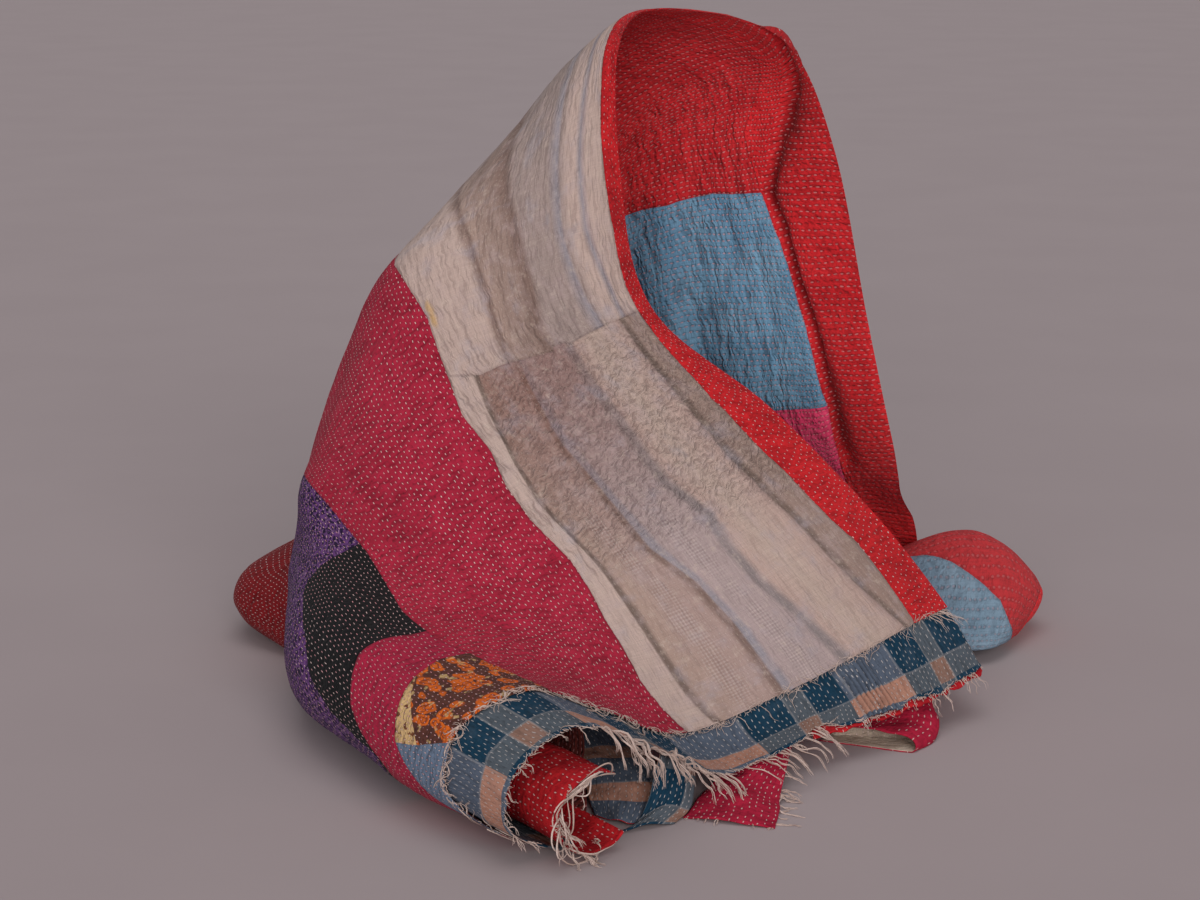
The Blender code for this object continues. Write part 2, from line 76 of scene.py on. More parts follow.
class Nodes:
    """Short ways to add nodes to one tree. A value is a number, a colour or another node's output."""

    def __init__(self, tree):
        self.tree = tree

    def feed(self, target, value):
        """Links another node's output to a socket, or sets a plain value on it."""
        if isinstance(value, bpy.types.NodeSocket):
            self.tree.links.new(value, target)
        else:
            target.default_value = value

    def put(self, kind, settings=(), **values):
        """A node of this kind, its inputs named in lower case with _ for a space."""
        made = self.tree.nodes.new(kind)
        for name, setting in dict(settings).items():
            setattr(made, name, setting)
        for name, value in values.items():
            for target in made.inputs:
                if target.enabled and target.name.lower().replace(" ", "_") == name:
                    self.feed(target, value)
                    break
            else:
                raise ValueError(f"{kind} has no input {name}")
        return made

    def math(self, operation, *values):
        """One Math node."""
        made = self.tree.nodes.new("ShaderNodeMath")
        made.operation = operation
        for target, value in zip(made.inputs, values):
            self.feed(target, value)
        return made.outputs[0]

    def add(self, *values):
        """The sum of all the values."""
        total = values[0]
        for value in values[1:]:
            total = self.math("ADD", total, value)
        return total

    def times(self, *values):
        """The product of all the values."""
        total = values[0]
        for value in values[1:]:
            total = self.math("MULTIPLY", total, value)
        return total

    def less(self, first, second):
        """The first value less the second."""
        return self.math("SUBTRACT", first, second)

    def smooth(self, value, low, high):
        """Eases from 0 to 1 as the value goes from low to high."""
        made = self.put("ShaderNodeMapRange", {"interpolation_type": "SMOOTHSTEP"}, value=value,
                        from_min=low, from_max=high, to_min=0.0, to_max=1.0)
        return made.outputs["Result"]

    def between(self, value, low, high, ease):
        """1 between low and high, easing to 0 at both."""
        return self.times(self.smooth(value, low, low + ease), self.smooth(value, high, high - ease))

    def blend(self, share, first, second, mode="MIX"):
        """The first colour where the share is 0, the second where it is 1."""
        made = self.tree.nodes.new("ShaderNodeMix")
        made.data_type = "RGBA"
        made.blend_type = mode
        for place, value in ((0, share), (6, first), (7, second)):
            self.feed(made.inputs[place], value)
        return made.outputs[2]

    def vector(self, x, y, z=0.0):
        """Three values as one vector."""
        return self.put("ShaderNodeCombineXYZ", x=x, y=y, z=z).outputs[0]

    def noise(self, vector, scale, detail=2.0, roughness=0.5):
        """Soft noise from 0 to 1 with this many repeats in a metre."""
        made = self.put("ShaderNodeTexNoise", vector=vector, scale=scale, detail=detail,
                        roughness=roughness)
        return made.outputs["Fac"]

    def chance(self, x, y=0.0):
        """A random number from 0 to 1 for each pair of whole numbers."""
        made = self.put("ShaderNodeTexWhiteNoise", {"noise_dimensions": "2D"}, vector=self.vector(x, y))
        return made.outputs["Value"]

    def ramp(self, share, stops):
        """A colour ramp through (place, colour) stops."""
        made = self.put("ShaderNodeValToRGB", fac=share)
        made.color_ramp.interpolation = "LINEAR"
        elements = made.color_ramp.elements
        while len(elements) < len(stops):
            elements.new(0.5)
        for element, (place, colour) in zip(elements, stops):
            element.position = place
            element.color = colour
        return made.outputs["Color"]

    def field(self, name):
        """A number kept on the mesh's points."""
        return self.put("ShaderNodeAttribute", {"attribute_name": name}).outputs["Fac"]

    def cloth_metres(self):
        """(across, along) the cloth in metres, from its UV map."""
        place = self.put("ShaderNodeUVMap", {"uv_map": "cloth"}).outputs[0]
        parts = self.put("ShaderNodeSeparateXYZ", vector=place)
        return parts.outputs[0], parts.outputs[1]

    def use(self, group, **values):
        """An instance of a node group, its inputs fed by name."""
        made = self.tree.nodes.new("ShaderNodeGroup")
        made.node_tree = group
        for name, value in values.items():
            label = name.replace("_", " ").title()
            self.feed(made.inputs[label], value)
        return made.outputs


def new_material(name, roughness):
    """A material with its Principled BSDF, and the Nodes to build its colour with."""
    material = bpy.data.materials.new(name)
    material.use_nodes = True
    shader = material.node_tree.nodes["Principled BSDF"]
    shader.inputs["Roughness"].default_value = roughness
    shader.inputs["Specular IOR Level"].default_value = 0.2
    return material, shader, Nodes(material.node_tree)


FLOOR_REACH = 20.0
FLOOR_GREY, FLOOR_PALE = linear(175, 161, 162), linear(177, 163, 164)


def grid_mesh(name, grid, flipped=False):
    """An open mesh of quads through a grid of points (down, over, xyz)."""
    down, over = grid.shape[:2]
    index = np.arange(down * over).reshape(down, over)
    quads = np.stack([index[:-1, :-1], index[1:, :-1], index[1:, 1:], index[:-1, 1:]], -1).reshape(-1, 4)
    if flipped:
        quads = quads[:, ::-1]
    mesh = bpy.data.meshes.new(name)
    mesh.vertices.add(down * over)
    mesh.vertices.foreach_set("co", grid.astype(np.float32).ravel())
    mesh.loops.add(quads.size)
    mesh.loops.foreach_set("vertex_index", quads.astype(np.int32).ravel())
    mesh.polygons.add(len(quads))
    mesh.polygons.foreach_set("loop_start", np.arange(0, quads.size, 4, dtype=np.int32))
    mesh.update(calc_edges=True)
    mesh.shade_smooth()
    return mesh


def new_object(name, mesh, material):
    """An object of this mesh and material, at the origin."""
    mesh.materials.append(material)
    made = bpy.data.objects.new(name, mesh)
    bpy.context.scene.collection.objects.link(made)
    return made


sides = np.array((-FLOOR_REACH, FLOOR_REACH))
floor_grid = np.stack(np.broadcast_arrays(sides[None], sides[:, None], 0.0), -1)
paper, paper_shader, nodes = new_material("floor_paper", 0.95)
fibre = nodes.noise(nodes.put("ShaderNodeTexCoord").outputs["Object"], 3.0, 4.0)
paper_colour = nodes.blend(nodes.smooth(fibre, 0.3, 0.7), FLOOR_GREY, FLOOR_PALE)
nodes.feed(paper_shader.inputs["Base Color"], paper_colour)
floor = new_object("studio_floor", grid_mesh("studio_floor", floor_grid, flipped=True), paper)

Light = namedtuple("Light", "name come_from width_deg strength colour")
LIGHTS = (
    Light("key", (1.1, -3.1, 1.35), 30.0, 1.08, (1.0, 0.97, 0.96)),
    Light("front", (-0.8, -3.5, 0.70), 30.0, 0.90, (1.0, 0.98, 0.97)),
    Light("fill", (-2.2, -2.3, 0.9), 36.0, 0.17, (0.98, 0.98, 1.0)),
    Light("top", (0.0, 0.2, 3.2), 44.0, 0.58, (1.0, 0.99, 0.99)),
)
for light in LIGHTS:
    light_data = bpy.data.lights.new(light.name, "SUN")
    light_data.energy = light.strength
    light_data.angle = math.radians(light.width_deg)
    light_data.color = light.colour
    holder = bpy.data.objects.new(light.name, light_data)
    east, north, height = light.come_from
    holder.location = light.come_from
    tilt = math.atan2(math.hypot(east, north), height)
    holder.rotation_euler = (tilt, 0.0, math.atan2(-north, -east) - math.pi / 2)
    bpy.context.scene.collection.objects.link(holder)

world = bpy.data.worlds.new("studio_air")
world.use_nodes = True
world.node_tree.nodes["Background"].inputs["Color"].default_value = (0.93, 0.95, 1.0, 1.0)
world.node_tree.nodes["Background"].inputs["Strength"].default_value = 0.26
bpy.context.scene.world = world


# ---------------------------------------------------------------------------------------------------
# The quilt's top: worn saris and prints pieced into long panels, with a red border down one margin,
# quilted through in white running stitch. It is the outer face of the hood and of the roll.
# ---------------------------------------------------------------------------------------------------

CENTRE = (0.0147, 0.2123)       # plan middle of the tables below, which is the origin
QUILT_THICKNESS = 0.0032
SETTLE = 0.0025
ROLL_ACROSS = (0.82, 0.57)
ROLL_START_DEG, ROLL_FULL_DEG = 78.0, 192.0
ROLL_PITCH = 0.024
TUCK_POINTS = 7
FLUTE_DEPTH, FLUTE_COUNT = 0.016, 13
HOOD_CENTRE, HOOD_HEIGHT = (-0.02, 0.40), 0.78

# A row for each crosswise section of the cloth, from the frayed end over the crown to the far end, and
# a column for each line along it; (x, y, z).
Section = namedtuple("Section", "name edge rim band middle seam side patch")
SECTIONS = (
    Section("plaid_end", (0.405, 0.203, 0.055), (0.362, 0.158, 0.050), (0.296, 0.094, 0.047),
            (0.196, 0.020, 0.046), (0.096, -0.062, 0.036), (0.022, -0.120, 0.085),
            (-0.045, -0.185, 0.132)),
    Section("hem", (0.374, 0.296, 0.100), (0.330, 0.248, 0.096), (0.262, 0.176, 0.085),
            (0.170, 0.092, 0.068), (0.053, 0.022, 0.046), (-0.030, -0.045, 0.096),
            (-0.105, -0.105, 0.140)),
    Section("knee", (0.287, 0.306, 0.210), (0.245, 0.262, 0.205), (0.175, 0.205, 0.190),
            (0.090, 0.150, 0.165), (-0.014, 0.097, 0.140), (-0.100, 0.045, 0.138),
            (-0.182, 0.003, 0.140)),
    Section("flap", (0.162, 0.310, 0.338), (0.125, 0.285, 0.335), (0.060, 0.250, 0.320),
            (-0.020, 0.215, 0.295), (-0.113, 0.190, 0.257), (-0.200, 0.160, 0.222),
            (-0.280, 0.165, 0.178)),
    Section("breast", (0.026, 0.327, 0.450), (0.000, 0.305, 0.450), (-0.060, 0.280, 0.445),
            (-0.130, 0.270, 0.420), (-0.212, 0.275, 0.380), (-0.296, 0.275, 0.320),
            (-0.372, 0.310, 0.245)),
    Section("neck", (-0.011, 0.350, 0.600), (-0.035, 0.335, 0.605), (-0.090, 0.330, 0.585),
            (-0.165, 0.335, 0.550), (-0.270, 0.360, 0.490), (-0.337, 0.395, 0.372),
            (-0.386, 0.390, 0.240)),
    Section("brow", (-0.008, 0.360, 0.768), (-0.022, 0.380, 0.763), (-0.065, 0.400, 0.723),
            (-0.130, 0.420, 0.650), (-0.258, 0.440, 0.505), (-0.334, 0.465, 0.375),
            (-0.384, 0.460, 0.235)),
    Section("crown", (0.080, 0.385, 0.785), (0.050, 0.430, 0.775), (-0.010, 0.480, 0.742),
            (-0.090, 0.500, 0.675), (-0.225, 0.510, 0.515), (-0.312, 0.530, 0.375),
            (-0.370, 0.525, 0.230)),
    Section("nape", (0.183, 0.412, 0.745), (0.170, 0.458, 0.725), (0.105, 0.500, 0.708),
            (0.000, 0.550, 0.648), (-0.150, 0.560, 0.510), (-0.265, 0.565, 0.370),
            (-0.340, 0.570, 0.215)),
    Section("shoulder", (0.242, 0.430, 0.619), (0.185, 0.485, 0.612), (0.125, 0.520, 0.600),
            (0.020, 0.560, 0.570), (-0.115, 0.590, 0.460), (-0.230, 0.590, 0.330),
            (-0.310, 0.600, 0.190)),
    Section("back", (0.286, 0.440, 0.420), (0.230, 0.490, 0.410), (0.170, 0.530, 0.405),
            (0.060, 0.575, 0.390), (-0.065, 0.610, 0.335), (-0.180, 0.615, 0.245),
            (-0.280, 0.615, 0.150)),
    Section("waist", (0.324, 0.465, 0.262), (0.264, 0.512, 0.250), (0.200, 0.545, 0.235),
            (0.090, 0.605, 0.210), (-0.040, 0.640, 0.185), (-0.168, 0.643, 0.142),
            (-0.260, 0.635, 0.100)),
    Section("heel", (0.396, 0.668, 0.026), (0.345, 0.674, 0.042), (0.275, 0.676, 0.018),
            (0.160, 0.675, 0.000), (0.010, 0.675, 0.000), (-0.125, 0.665, 0.000),
            (-0.212, 0.645, 0.000)),
    Section("hump", (0.497, 0.545, 0.000), (0.521, 0.556, 0.058), (0.450, 0.560, 0.118),
            (0.320, 0.560, 0.080), (0.110, 0.590, 0.000), (-0.040, 0.610, 0.000),
            (-0.150, 0.632, 0.000)),
    Section("toe", (0.472, 0.485, 0.000), (0.487, 0.450, 0.020), (0.432, 0.378, 0.030),
            (0.310, 0.420, 0.030), (0.100, 0.510, 0.000), (-0.010, 0.560, 0.000),
            (-0.100, 0.605, 0.000)),
    Section("end", (0.440, 0.500, 0.000), (0.455, 0.470, 0.008), (0.415, 0.425, 0.014),
            (0.300, 0.455, 0.008), (0.095, 0.480, 0.000), (0.010, 0.525, 0.000),
            (-0.065, 0.580, 0.000)),
)
LAST_ROW, PATCH_LINE = len(SECTIONS) - 1, 6
LAST_LINE = PATCH_LINE + TUCK_POINTS

# Where the margin below the patch line is rolled, where it hangs, and where it lies on the floor.
Roll = namedtuple("Roll", "name half_width lean step_deg")
ROLLS = (
    Roll("plaid_end", 0.084, 0.016, 64.0),
    Roll("hem", 0.090, 0.016, 64.0),
    Roll("knee", 0.094, 0.016, 56.0),
    Roll("flap", 0.096, 0.020, 44.0),
)
Skirt = namedtuple("Skirt", "name knee tip half_fold foot inner")
SKIRTS = (
    Skirt("breast", (-0.398, 0.285, 0.130), (-0.388, 0.250, 0.040), 0.020,
          (-0.345, 0.240, 0.000), (-0.250, 0.260, 0.000)),
    Skirt("neck", (-0.400, 0.375, 0.120), (-0.392, 0.365, 0.035), 0.018,
          (-0.360, 0.365, 0.000), (-0.300, 0.365, 0.000)),
    Skirt("brow", (-0.400, 0.455, 0.130), (-0.482, 0.470, 0.052), 0.022,
          (-0.430, 0.455, 0.000), (-0.340, 0.440, 0.000)),
    Skirt("crown", (-0.398, 0.540, 0.130), (-0.472, 0.560, 0.052), 0.022,
          (-0.420, 0.530, 0.000), (-0.320, 0.500, 0.000)),
    Skirt("nape", (-0.375, 0.605, 0.120), (-0.425, 0.640, 0.046), 0.020,
          (-0.385, 0.600, 0.000), (-0.295, 0.530, 0.000)),
    Skirt("shoulder", (-0.345, 0.640, 0.110), (-0.366, 0.662, 0.038), 0.018,
          (-0.340, 0.625, 0.000), (-0.278, 0.555, 0.000)),
    Skirt("back", (-0.305, 0.645, 0.090), (-0.316, 0.660, 0.032), 0.014,
          (-0.292, 0.636, 0.000), (-0.248, 0.582, 0.000)),
    Skirt("waist", (-0.288, 0.644, 0.044), (-0.282, 0.640, 0.020), 0.008,
          (-0.258, 0.622, 0.000), (-0.236, 0.600, 0.000)),
)
FLOOR_INNER = {"heel": (-0.205, 0.590, 0.0), "hump": (-0.140, 0.595, 0.0),
               "toe": (-0.092, 0.570, 0.0), "end": (-0.058, 0.548, 0.0)}
LIP_REACH, LIP_FROM, LIP_FULL, LIP_TO = 0.80, 7.8, 9.0, 9.9

# Metres along the flat cloth at each row, from the frayed hem, and across it at each line.
ALONG_AT_ROWS = (-0.08, 0.0, 0.14, 0.32, 0.50, 0.66, 0.83, 0.93, 1.03, 1.18, 1.38, 1.55, 1.80, 1.90,
                 1.99, 2.05)
ACROSS_AT_LINES = (0.0, 0.06, 0.16, 0.28, 0.41, 0.53, 0.65, 0.75, 0.85, 0.94, 1.02, 1.09, 1.15, 1.20)


def roll_points(patch, roll):
    """The rolled margin: an oval spiral that starts at the patch line and turns out, down and under."""
    start = math.radians(ROLL_START_DEG)
    half_height = (patch[2] - QUILT_THICKNESS / 2) / (1 + math.sin(start))
    middle_height = patch[2] - half_height * math.sin(start)
    turned = roll.step_deg * np.arange(1, TUCK_POINTS + 1)
    angle = start + np.radians(turned)
    inset = ROLL_PITCH * np.maximum(turned - ROLL_FULL_DEG, 0.0) / 360.0
    across = (roll.half_width - inset) * np.cos(angle) - roll.lean
    return np.stack([patch[0] + ROLL_ACROSS[0] * across, patch[1] + ROLL_ACROSS[1] * across,
                     middle_height + (half_height - inset) * np.sin(angle)], -1)


def skirt_points(patch, skirt):
    """The hanging margin: knee, folded tip, foot and inner end, with the points halfway between."""
    knee, tip, foot, inner = (np.array(p) for p in (skirt.knee, skirt.tip, skirt.foot, skirt.inner))
    lift = np.array((0.0, 0.0, skirt.half_fold))
    return [(np.array(patch) + knee) / 2, knee, tip + lift, tip - lift, foot, (foot + inner) / 2, inner]


def floor_points(patch, inner):
    """The margin laid on the floor, in shortening steps from the patch line to its inner end."""
    share = 1 - (1 - np.arange(1, TUCK_POINTS + 1)[:, None] / TUCK_POINTS) ** 1.6
    return np.array(patch) * (1 - share) + np.array(inner) * share


def control_net():
    """Rows of points across the cloth, one row for each section."""
    rolls = {roll.name: roll for roll in ROLLS}
    skirts = {skirt.name: skirt for skirt in SKIRTS}
    rows = []
    for section in SECTIONS:
        if section.name in rolls:
            margin = roll_points(section.patch, rolls[section.name])
        elif section.name in skirts:
            margin = skirt_points(section.patch, skirts[section.name])
        else:
            margin = floor_points(section.patch, FLOOR_INNER[section.name])
        rows.append(list(section[1:]) + list(margin))
    return np.array(rows, float)


def curve_weights(places, last):
    """Which four points a Catmull-Rom curve reads at these places, and the weight of each."""
    start = np.clip(np.floor(places).astype(int), 0, last - 1)
    t = places - start
    weights = (-t + 2 * t**2 - t**3, 2 - 5 * t**2 + 3 * t**3, t + 4 * t**2 - 3 * t**3, -t**2 + t**3)
    return start, [w / 2 for w in weights]


def lengthened(net, axis):
    """The net with one more point past each end, straight on."""
    first, second = np.take(net, [0], axis), np.take(net, [1], axis)
    last, before = np.take(net, [-1], axis), np.take(net, [-2], axis)
    return np.concatenate([2 * first - second, net, 2 * last - before], axis)


def curved(net, rows, lines):
    """The Catmull-Rom surface of a net of points, at these row and line places."""
    row, row_weights = curve_weights(rows, net.shape[0] - 1)
    line, line_weights = curve_weights(lines, net.shape[1] - 1)
    net = lengthened(lengthened(net, 0), 1)
    points = 0
    for down, row_weight in enumerate(row_weights):
        for over, line_weight in enumerate(line_weights):
            points = points + net[row + down, line + over] * (row_weight * line_weight)[..., None]
    return points


def flutes(points):
    """The back wall's flutes: in and out from the hood's middle, deepest halfway to the floor."""
    away = points[..., :2] - np.array(HOOD_CENTRE)
    reach = np.linalg.norm(away, axis=-1) + 1e-9
    turn = np.arctan2(away[..., 1], away[..., 0])
    height = points[..., 2]
    fade = np.clip(1 - height / HOOD_HEIGHT, 0, 1) * np.clip(height / 0.08, 0, 1)
    behind = np.clip((points[..., 1] - 0.52) / 0.06, 0, 1)
    wave = FLUTE_DEPTH * fade * behind * np.cos(FLUTE_COUNT * turn)
    moved = points.copy()
    moved[..., :2] += away / reach[..., None] * wave[..., None]
    return moved


def cloth(rows, lines):
    """Points of the cloth's middle surface at these row and line places, two arrays of one shape."""
    points = flutes(curved(control_net(), np.asarray(rows, float), np.asarray(lines, float)))
    points[..., 2] = np.maximum(points[..., 2] - SETTLE, QUILT_THICKNESS / 2)
    return points - (*CENTRE, 0.0)


def normals(grid):
    """Unit normals of a grid of points, on the patchwork face of the cloth."""
    n = np.cross(np.gradient(grid, axis=0), np.gradient(grid, axis=1))
    return n / (np.linalg.norm(n, axis=-1, keepdims=True) + 1e-12)


def lip(lines):
    """How far, in rows, the quilt's frayed end runs past the hem line: only under the roll."""
    rise = np.clip((lines - LIP_FROM) / (LIP_FULL - LIP_FROM), 0, 1)
    fall = np.clip((LIP_TO - lines) / (LIP_TO - LIP_FULL), 0, 1)
    return LIP_REACH * np.sin(np.minimum(rise, fall) * math.pi / 2)


def places(counts, first=0):
    """Row or line places with this many steps in each interval."""
    steps = [first + k + np.arange(n) / n for k, n in enumerate(counts)]
    return np.concatenate(steps + [[first + len(counts)]])


def drift(x, y, seed):
    """A smooth random wave from -1 to 1, about two lattice steps long: eased between lattice points."""
    chance = np.random.default_rng(seed)
    lattice = chance.uniform(-1, 1, (64, 64))
    x0, y0 = np.floor(x).astype(int), np.floor(y).astype(int)
    fx, fy = x - x0, y - y0
    fx, fy = fx * fx * (3 - 2 * fx), fy * fy * (3 - 2 * fy)
    x0, y0, x1, y1 = x0 % 64, y0 % 64, (x0 + 1) % 64, (y0 + 1) % 64
    low = lattice[x0, y0] * (1 - fx) + lattice[x1, y0] * fx
    high = lattice[x0, y1] * (1 - fx) + lattice[x1, y1] * fx
    return low * (1 - fy) + high * fy


def follow(path, along):
    """How far across the cloth a path of (along, across) pairs is, at each place along it."""
    path = np.array(path)
    return np.interp(along, path[:, 0], path[:, 1])


# Seams and creases as (along, across) pairs in metres of flat cloth.
STRIP_SEAM = ((0.0, 0.062), (0.076, 0.060), (0.123, 0.057), (0.157, 0.068), (0.225, 0.072), (0.264, 0.076),
              (0.349, 0.079), (0.409, 0.061), (0.478, 0.046), (0.60, 0.046), (0.71, 0.056), (0.80, 0.060),
              (0.93, 0.055), (2.05, 0.060))
CRIMSON_SEAM = ((0.0, 0.402), (0.045, 0.415), (0.079, 0.423), (0.154, 0.421), (0.196, 0.414),
                (0.238, 0.412), (0.300, 0.424), (0.350, 0.425), (0.395, 0.413), (0.447, 0.417),
                (0.491, 0.406), (0.57, 0.392), (0.68, 0.413), (0.90, 0.405), (2.05, 0.410))
PATCH_SEAM = ((-0.08, 0.620), (0.0, 0.619), (0.12, 0.634), (0.19, 0.656), (0.25, 0.663), (0.36, 0.641),
              (0.51, 0.650), (2.05, 0.650))
DARK_FOLD = ((0.0, 0.078), (0.08, 0.101), (0.12, 0.107), (0.18, 0.112), (0.23, 0.121), (0.28, 0.125),
             (0.34, 0.120), (0.41, 0.104), (0.475, 0.088))
BLUE_FOLD = ((0.0, 0.188), (0.08, 0.204), (0.13, 0.218), (0.18, 0.225), (0.224, 0.216), (0.275, 0.237),
             (0.315, 0.238), (0.41, 0.221), (0.475, 0.202))
BROWN_FOLD = ((0.0, 0.284), (0.107, 0.282), (0.161, 0.290), (0.217, 0.314), (0.293, 0.319),
              (0.364, 0.323), (0.423, 0.308), (0.476, 0.292))
PALE_FOLD = ((0.0, 0.362), (0.06, 0.374), (0.12, 0.379), (0.216, 0.380), (0.267, 0.390), (0.315, 0.398),
             (0.369, 0.393), (0.432, 0.378), (0.482, 0.363))
STITCHED_FOLD = ((0.50, 0.077), (0.533, 0.077), (0.601, 0.098), (0.682, 0.103), (0.80, 0.100),
                 (1.1, 0.100))
FINE_FOLD = ((0.50, 0.127), (0.56, 0.136), (0.61, 0.146), (0.695, 0.150), (0.80, 0.160), (1.1, 0.165))
UMBER_FOLD = ((0.50, 0.235), (0.557, 0.223), (0.631, 0.232), (0.717, 0.266), (0.80, 0.285), (1.1, 0.29))
TAUPE_FOLD = ((0.50, 0.305), (0.571, 0.297), (0.644, 0.310), (0.753, 0.342), (0.83, 0.355), (1.1, 0.36))
HOOD_FOLD = ((0.99, -0.010), (1.013, 0.008), (1.037, 0.029), (1.072, 0.039), (1.112, 0.048),
             (1.153, 0.058), (1.198, 0.082), (1.236, 0.108), (1.272, 0.096), (1.335, 0.089), (1.410, 0.071),
             (1.502, 0.060), (1.62, 0.060))

# How wide and deep each crease is, where it starts and ends, in metres; depth is towards the lining.
Crease = namedtuple("Crease", "path half_width depth start end")
CREASES = (
    Crease(DARK_FOLD, 0.0050, 0.0026, 0.00, 0.50),
    Crease(BLUE_FOLD, 0.0070, 0.0016, 0.00, 0.47),
    Crease(BROWN_FOLD, 0.0060, 0.0022, 0.02, 0.47),
    Crease(PALE_FOLD, 0.0040, 0.0009, 0.00, 0.47),
    Crease(FINE_FOLD, 0.0050, 0.0012, 0.50, 0.80),
    Crease(UMBER_FOLD, 0.0090, 0.0038, 0.50, 0.86),
    Crease(TAUPE_FOLD, 0.0070, 0.0026, 0.50, 0.84),
    Crease(HOOD_FOLD, 0.0110, -0.0150, 1.00, 1.60),
    Crease(CRIMSON_SEAM, 0.0030, 0.0008, 0.00, 2.05),
    Crease(STRIP_SEAM, 0.0030, 0.0008, 0.00, 2.05),
)
SWELL_DEPTH, SWELL_LENGTH = 0.0022, 0.075       # the quilt's slow unevenness
CRUMPLE_ALONG, CRUMPLE_ACROSS = (0.24, 0.40), (0.10, 0.30)
CRUMPLE_DEPTH = 0.0014


def window(value, start, end, ease):
    """1 between start and end, easing to 0 over this distance outside them."""
    return np.clip((value - start) / ease + 1, 0, 1) * np.clip((end - value) / ease + 1, 0, 1)


def folds(along, across):
    """How far the cloth stands towards its patchwork face: slow swells less the listed creases."""
    height = SWELL_DEPTH * drift(across / SWELL_LENGTH, along / SWELL_LENGTH + 7.3, 1)
    height += 0.35 * SWELL_DEPTH * drift(across / 0.034, along / 0.041, 2)
    for crease in CREASES:
        wander = 0.0016 * drift(along / 0.017, across * 0 + 3.0, 4)
        away = (across - follow(crease.path, along) - wander) / crease.half_width
        fade = window(along, crease.start + 0.02, crease.end - 0.02, 0.03)
        height -= crease.depth * fade * np.exp(-away**2)
    crumple = window(along, *CRUMPLE_ALONG, 0.06) * window(across, *CRUMPLE_ACROSS, 0.05)
    height += CRUMPLE_DEPTH * crumple * drift(across / 0.016 + along / 0.05, along / 0.010, 5)
    return height


def quilt_places(row_counts, line_counts):
    """The quilt's row and line places, its first rows drawn out to the lip, and its flat metres."""
    rows, lines = np.meshgrid(places(row_counts, 1), places(line_counts), indexing="ij")
    rows = rows - lip(lines) * np.clip(2 - rows, 0, 1)
    along = np.interp(rows, np.arange(LAST_ROW + 1), ALONG_AT_ROWS)
    across = np.interp(lines, np.arange(LAST_LINE + 1), ACROSS_AT_LINES)
    return rows, lines, along, across


RIM_STEPS = 2                        # grid steps that the quilt's rounded rim takes up


def rim_share(shape):
    """0 on the border of a grid, rising to 1 within the rim's steps, as a quarter round."""
    down, over = np.arange(shape[0])[:, None], np.arange(shape[1])[None]
    inside = np.minimum(np.minimum(down, shape[0] - 1 - down), np.minimum(over, shape[1] - 1 - over))
    return np.sqrt(1 - (1 - np.clip(inside / RIM_STEPS, 0, 1)) ** 2)


def set_cloth_map(mesh, across, along):
    """The UV map named cloth: metres across and along the flat cloth."""
    loops = np.empty(len(mesh.loops), np.int32)
    mesh.loops.foreach_get("vertex_index", loops)
    flat = np.stack([across.ravel(), along.ravel()], -1).astype(np.float32)
    mesh.uv_layers.new(name="cloth").data.foreach_set("uv", flat[loops].ravel())


def set_field(mesh, name, values):
    """A number for each point, which materials read by name."""
    mesh.attributes.new(name, "FLOAT", "POINT").data.foreach_set("value", values.astype(np.float32).ravel())


TOP_ROW_STEPS = (31, 40, 40, 36, 38, 22, 16, 22, 28, 22, 30, 14, 14, 9)
TOP_LINE_STEPS = (14, 22, 27, 29, 26, 26, 20, 18, 14, 10, 8, 7, 6)
FACE_HEIGHT = QUILT_THICKNESS / 2 - 0.0003

rows, lines, along, across = quilt_places(TOP_ROW_STEPS, TOP_LINE_STEPS)
top_middle = cloth(rows, lines)
on_panel = window(across, 0.06, 0.41, 0.01)
puffs = 0.0005 * drift(across / 0.030, along / 0.0085, 11) * (1 - on_panel)
puffs += 0.0006 * drift(across / 0.0085, along / 0.040, 12) * on_panel
height = FACE_HEIGHT + folds(along, across) + puffs
height = np.where(rim_share(height.shape) > 0, height, 0) * rim_share(height.shape)
top_grid = top_middle + normals(top_middle) * height[..., None]
top_grid[..., 2] = np.maximum(top_grid[..., 2], 0.0003)
top_mesh = grid_mesh("quilt_top", top_grid)
set_cloth_map(top_mesh, across, along)

# Fields that place the patches: each is metres past a seam, or a count of bands crossed.
PINK_SEAM = ((0.60, 0.200), (0.667, 0.204), (0.713, 0.211), (0.758, 0.212), (0.790, 0.201), (0.819, 0.189),
             (0.838, 0.164), (0.860, 0.120), (1.2, 0.10))
PRINT_SEAM = ((0.60, 0.134), (0.678, 0.139), (0.718, 0.129), (0.756, 0.116), (0.783, 0.108),
              (0.807, 0.097), (0.86, 0.03), (0.90, -0.10))
CROSS_SEAM = ((0.035, 0.503), (0.089, 0.494), (0.152, 0.481), (0.198, 0.474), (0.203, 0.479),
              (0.228, 0.479), (0.231, 0.473), (0.319, 0.483), (0.359, 0.482), (0.428, 0.509))
BEIGE_SEAM = ((0.0, 0.800), (0.060, 0.791), (0.077, 0.774), (0.104, 0.747), (0.129, 0.718), (0.2, 0.62))
BLUE_GREY_SEAM = ((-0.08, 0.745), (0.010, 0.772), (0.054, 0.791), (0.095, 0.806), (0.2, 0.83))
UNDER_SEAM = ((0.10, 0.850), (0.168, 0.860), (0.224, 0.862), (0.261, 0.848), (0.296, 0.813),
              (0.369, 0.780), (0.45, 0.70))
RED_TIP = (0.55, 0.80)


def bands(across, edges):
    """How many of these edges, each an array of places across, are passed, with the share of the next."""
    count = 0.0
    for near, far in zip(edges[:-1], edges[1:]):
        count = count + np.clip((across - near) / (far - near), 0, 1)
    return count


